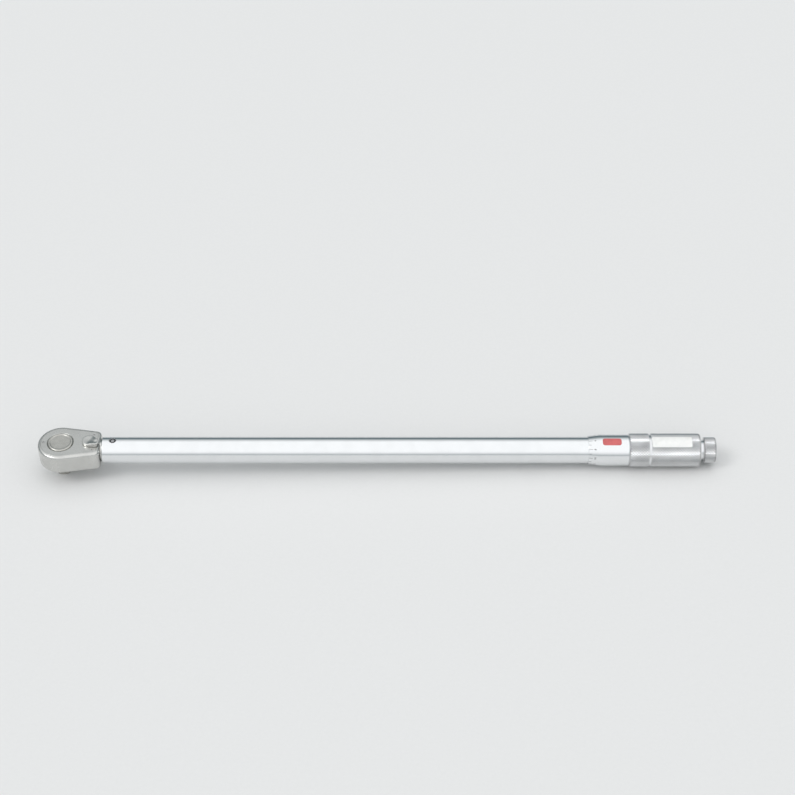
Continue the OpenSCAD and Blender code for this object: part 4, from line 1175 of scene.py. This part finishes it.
# %% [markdown]
# ## Scale lines
# The setting is read on the tube's far side, where the thimble's front edge meets a row of lines, and on
# the thimble's bevel. The real marks are rolled in and filled with black. Thin strips that follow the
# round keep their edges sharp in any view, where a painted texture would blur.

# %% Bent strips
STRIP_SUNK, STRIP_PROUD = 0.1, 0.02  # how far a mark reaches below and above the metal


def bent_strips(x0, x1, a0, a1, surface_r, samples=9):
    """Closed strips on a round surface, one for each entry of the arrays x0, x1, a0, a1: a small cross
    section, with x along it, is carried from the angle a0 to a1, and both ends are drawn together."""
    ends = np.stack(np.broadcast_arrays(x0, x1, a0, a1), -1).astype(float)[:, None, None, :]
    s = np.concatenate([[0], np.linspace(0, 1, samples), [1]])[:, None]
    a = ends[..., 2] + s * (ends[..., 3] - ends[..., 2])
    right = np.array([0, 1, 1, 0])
    keep = np.concatenate([[0], np.ones(samples), [0]])[:, None]
    middle = (ends[..., 0] + ends[..., 1]) / 2
    x = middle + keep * (ends[..., 0] + right * (ends[..., 1] - ends[..., 0]) - middle)
    lift = np.array([-STRIP_SUNK, -STRIP_SUNK, STRIP_PROUD, STRIP_PROUD])
    r = surface_r(x) + keep * lift - (1 - keep) * (STRIP_SUNK - STRIP_PROUD) / 2
    return [shell(grid) for grid in around(x, r, a)]


def tube_r(x):
    """Radius of the tube, the same at every x."""
    return np.full_like(np.asarray(x, float), TUBE_R)


def bevel_r(x):
    """Radius of the thimble's bevel at x."""
    return np.interp(x, [thimble_x0, thimble_x0 + BEVEL_LEN], [slide_r + LIP, THIMBLE_R])


print("the bevel goes from radius", round(bevel_r(thimble_x0), 2), "to", THIMBLE_R)

# %% [markdown]
# ## Figures
# The numbers beside the lines are drawn by Blender's own letters, which are quicker and truer than any
# drawn by hand. A letter is flat, so it is made a mesh, and its points are laid round the metal as the
# strips are.

# %% Figures on a round
FIGURE_HALF, FIGURE_SUNK = 0.05, 0.02  # half the thickness of a figure, and how far its middle is sunk


def figure(word, size, place):
    """A word as one shell: the flat mesh of its letters, centred, with each point handed to a place
    function."""
    text = bpy.data.curves.new("figure", "FONT")
    text.body, text.size, text.extrude = word, size, FIGURE_HALF
    text.align_x, text.align_y = "CENTER", "CENTER"
    holder = put("figure", text)
    mesh = holder.evaluated_get(bpy.context.evaluated_depsgraph_get()).to_mesh()
    flat = np.zeros(3 * len(mesh.vertices))
    mesh.vertices.foreach_get("co", flat)
    mesh.calc_loop_triangles()
    corners = np.zeros(3 * len(mesh.loop_triangles), int)
    mesh.loop_triangles.foreach_get("vertices", corners)
    bpy.data.objects.remove(holder)
    points, faces = place(flat.reshape(-1, 3)), corners.reshape(-1, 3)
    return points, outward(points, faces)


def on_round(x, a, surface_r):
    """A place for letters: their width goes round the handle, their height towards the head. The point
    (u, v, w) of a letter goes to x - v, at the radius there plus w and the angle a - u / radius."""
    def place(flat):
        along = x - flat[:, Y]
        surface = surface_r(along)
        return around(along, surface + flat[:, Z] - FIGURE_SUNK, a - flat[:, X] / surface)
    return place


print("figures are", 2 * FIGURE_HALF, "mm thick")

# %% The scale on the tube
SCALE_SIDE, LINE = np.radians(-100), 0.3  # angle of the scale from the top, and width of its lines
TURN_MM, SETTING_0, SETTING_STEP = 2.5, 70, 20  # travel of a turn, lowest setting, what a turn adds to it
LONG_HALF, SHORT_HALF, FIRST_LINE = 3.2, 2.0, 0.15  # half lengths of the lines, and the first one's place
BASE_AHEAD, BASE_UNDER = 2, 6  # how far the base line runs past the last line, and under the thimble
FIGURE_H, FIGURE_AHEAD, FIGURE_ASIDE = 2.6, 1.25, 6.2  # a figure stands ahead of its line, on one side
line_no = np.arange(int(round(seat_travel / TURN_MM)) + 1)
line_x = thimble_x0 - FIRST_LINE - TURN_MM * line_no
line_a = np.where(line_no % 2 == 0, LONG_HALF, SHORT_HALF) / TUBE_R
base_x, base_a = [line_x[-1] - BASE_AHEAD], LINE / 2 / TUBE_R
tube_marks = [
    *bent_strips(line_x - LINE / 2, line_x + LINE / 2, SCALE_SIDE - line_a, SCALE_SIDE + line_a, tube_r),
    *bent_strips(base_x, thimble_x0 + BASE_UNDER, SCALE_SIDE - base_a, SCALE_SIDE + base_a, tube_r),
]
figure_a = SCALE_SIDE - FIGURE_ASIDE / TUBE_R
for n in line_no[::2]:
    setting = str(SETTING_0 + SETTING_STEP * n)
    tube_marks.append(figure(setting, FIGURE_H, on_round(line_x[n] - FIGURE_AHEAD, figure_a, tube_r)))
tube_scale = solid("tube_scale", *tube_marks)
dress(tube_scale, mark_black, "tube_body", "dark_steel")

# %% The scale on the thimble
DIVISIONS = SETTING_STEP  # one for each newton metre of a turn
TICK_LONG, TICK_SHORT, TICK_X, TICK_WIDE = 3.6, 2.4, 0.4, 2  # a tick is a line's width wide at TICK_WIDE
BEVEL_FIGURE_H, BEVEL_FIGURE_X = 3.0, 6.6  # height of the figures, and how far behind the edge they are
tick_no = np.arange(DIVISIONS)
tick_a, tick_x = SCALE_SIDE + tick_no * 2 * np.pi / DIVISIONS, thimble_x0 + TICK_X
tick_len = np.where(tick_no % 2 == 0, TICK_LONG, TICK_SHORT)
tick_half = LINE / 2 / bevel_r(thimble_x0 + TICK_WIDE)
figure_x = thimble_x0 + BEVEL_FIGURE_X
bevel_marks = bent_strips(
    tick_x, tick_x + tick_len, tick_a - tick_half, tick_a + tick_half, bevel_r, samples=2)
for n in tick_no[::2]:
    bevel_marks.append(figure(str(n), BEVEL_FIGURE_H, on_round(figure_x, tick_a[n], bevel_r)))
thimble_scale = solid("thimble_scale", *bevel_marks)
dress(thimble_scale, mark_black, "handle", "dark_steel")

# %% [markdown]
# ## Pieces kept from the CAD model
# The screws, the pawl and everything inside the tube have the right shape already, so they keep their
# solids and get a finish. A solid comes in as loose triangles. On the screws that show, a weld joins
# them, and a bevel then eases their edges.

# %% Finishes for the kept pieces
SCREW_EASE = 0.12  # eased edges of the screws
KEPT = {
    ground_steel: [
        "gear_washer", "pawl", "toggle_block", "plunger", "spring_seat", "push_rod", "adjusting_screw",
        "handle_hub", "lock_rod", "cover_screws", "pawl_pin", "lever_plunger",
    ],
    dark_steel: ["hub_screw", "nut_pins"],
    ball_steel: ["thrust_ball", "lock_balls"],
    nut_brass: ["adjusting_nut"],
    seal_rubber: ["thimble_seal"],
}
for finish, nodes in KEPT.items():
    for node in nodes:
        frame["nodes"][node].data.materials.clear()
        frame["nodes"][node].data.materials.append(finish)
for node in ("cover_screws", "hub_screw"):
    weld = frame["nodes"][node].modifiers.new("weld", "WELD")
    weld.merge_threshold = SAME * MM
    bevel = frame["nodes"][node].modifiers.new("eased", "BEVEL")
    bevel.width, bevel.segments, bevel.limit_method = SCREW_EASE * MM, 2, "ANGLE"
print("kept nodes", sum(map(len, KEPT.values())))

# %% [markdown]
# ## The floor
# The wrench lies on the tip of its drive and the rear of its grip, so it slopes by about a degree. The
# part keeps its own frame, and the pale floor is tilted under it instead.

# %% A tilted floor
FLOOR_HALF = 30000  # half of the floor's side
PALE, LESS_PALE = (0.76, 0.76, 0.755), (0.73, 0.73, 0.725)  # its two tints
FIBRE_MM = 3  # size of the clouds of the second tint
FLOOR_ROUGH, FIBRE_ROUGH = 0.75, 0.1  # roughness, and what those clouds add
rest_low = np.array([GEAR[0, Z], GRIP[0, Z]])
slope = np.ptp(rest_low) / grip_x1
floor_x, floor_y = np.meshgrid([-FLOOR_HALF, FLOOR_HALF], [-FLOOR_HALF, FLOOR_HALF], indexing="ij")
floor_grid = np.stack([floor_x, floor_y, rest_low[0] + slope * floor_x], -1)
floor_mesh = bpy.data.meshes.new("floor")
floor_mesh.from_pydata(floor_grid.reshape(-1, 3) * MM, [], [(0, 2, 3, 1)])
put("floor", floor_mesh)
pale = Finish("pale_floor")
fibre = pale.noise(FIBRE_MM, CLOUDY)
floor_mesh.materials.append(pale.surface(
    Base_Color=pale.blend(fibre, shade(PALE), shade(LESS_PALE)),
    Roughness=FLOOR_ROUGH + FIBRE_ROUGH * fibre,
))
print("floor tilt", round(float(np.degrees(np.arctan(slope))), 2), "degrees")

# %% [markdown]
# ## The light
# Chrome shows what is around it, so an even sky would leave it flat. This one is bright overhead and a
# little to the front, and greyer low down and on the far side, which draws the dark band along the tube's
# upper edge. A soft sun from the front left adds a shadow.

# %% Sky and sun
BRIGHT_TOWARDS, BRIGHT_EDGE = (0, -0.28, 0.96), (0.05, 0.80)  # middle of the bright part, and its edges
BRIGHT, GREY = (1.15, 1.16, 1.17), (0.17, 0.215, 0.23)  # colours of that part and of the rest
SUN_FROM, SUN_STRENGTH, SUN_SPREAD = (-0.62, -0.25, 0.74), 0.6, np.radians(25)
world = bpy.data.worlds.new("studio")
bpy.context.scene.world = world
sky = Net(world)
towards = sky.node("ShaderNodeTexCoord", out="Generated")
facing = sky.vector("DOT_PRODUCT", towards, BRIGHT_TOWARDS, out="Value")
background = world.node_tree.nodes["Background"]
brightness = sky.between(facing, *BRIGHT_EDGE)
sky.feed(background.inputs["Color"], sky.blend(brightness, shade(GREY), shade(BRIGHT)))
sky.feed(background.inputs["Strength"], 1.0)
lamp = bpy.data.lights.new("key", "SUN")
lamp.energy, lamp.angle = SUN_STRENGTH, SUN_SPREAD
key = put("key", lamp)
key.rotation_mode = "QUATERNION"
key.rotation_quaternion = Vector(SUN_FROM).to_track_quat("Z", "Y")
print("sky from", GREY, "to", BRIGHT, "and a sun of", SUN_STRENGTH)

# %% [markdown]
# ## The camera
# The camera stands straight in front and looks down by about 43 degrees. Its distance follows from the
# size of a pixel at the wrench, and it is moved along its own upward direction until the middle of the
# wrench falls on its pixel, so no lens shift is needed.

# %% The camera
IMAGE, FOCAL, MM_PER_PIXEL = 795, 1850, 1.0135  # picture width and focal length are in pixels
SENSOR = 36  # width of the sensor in millimetres
PITCH_DOWN = np.radians(42.9)
AIM_X, AIM_PIXEL_Y = 340.4, 450.0  # this place on the tube's axis is in the middle, this many pixels down
ahead = Vector((0, np.cos(PITCH_DOWN), -np.sin(PITCH_DOWN)))
upward = Vector((0, np.sin(PITCH_DOWN), np.cos(PITCH_DOWN)))
depth = FOCAL * MM_PER_PIXEL * MM
rise = (AIM_PIXEL_Y - IMAGE / 2) / FOCAL * depth
lens = bpy.data.cameras.new("camera")
lens.sensor_width, lens.lens = SENSOR, SENSOR * FOCAL / IMAGE
camera = put("camera", lens)
camera.location = Vector((AIM_X, 0, AXIS_Z)) * MM - depth * ahead + rise * upward
camera.rotation_mode = "QUATERNION"
camera.rotation_quaternion = (-ahead).to_track_quat("Z", "Y")
bpy.context.scene.camera = camera
bpy.context.scene.view_settings.view_transform = "Standard"
print("camera at", [round(c, 3) for c in camera.location])

# %% [markdown]
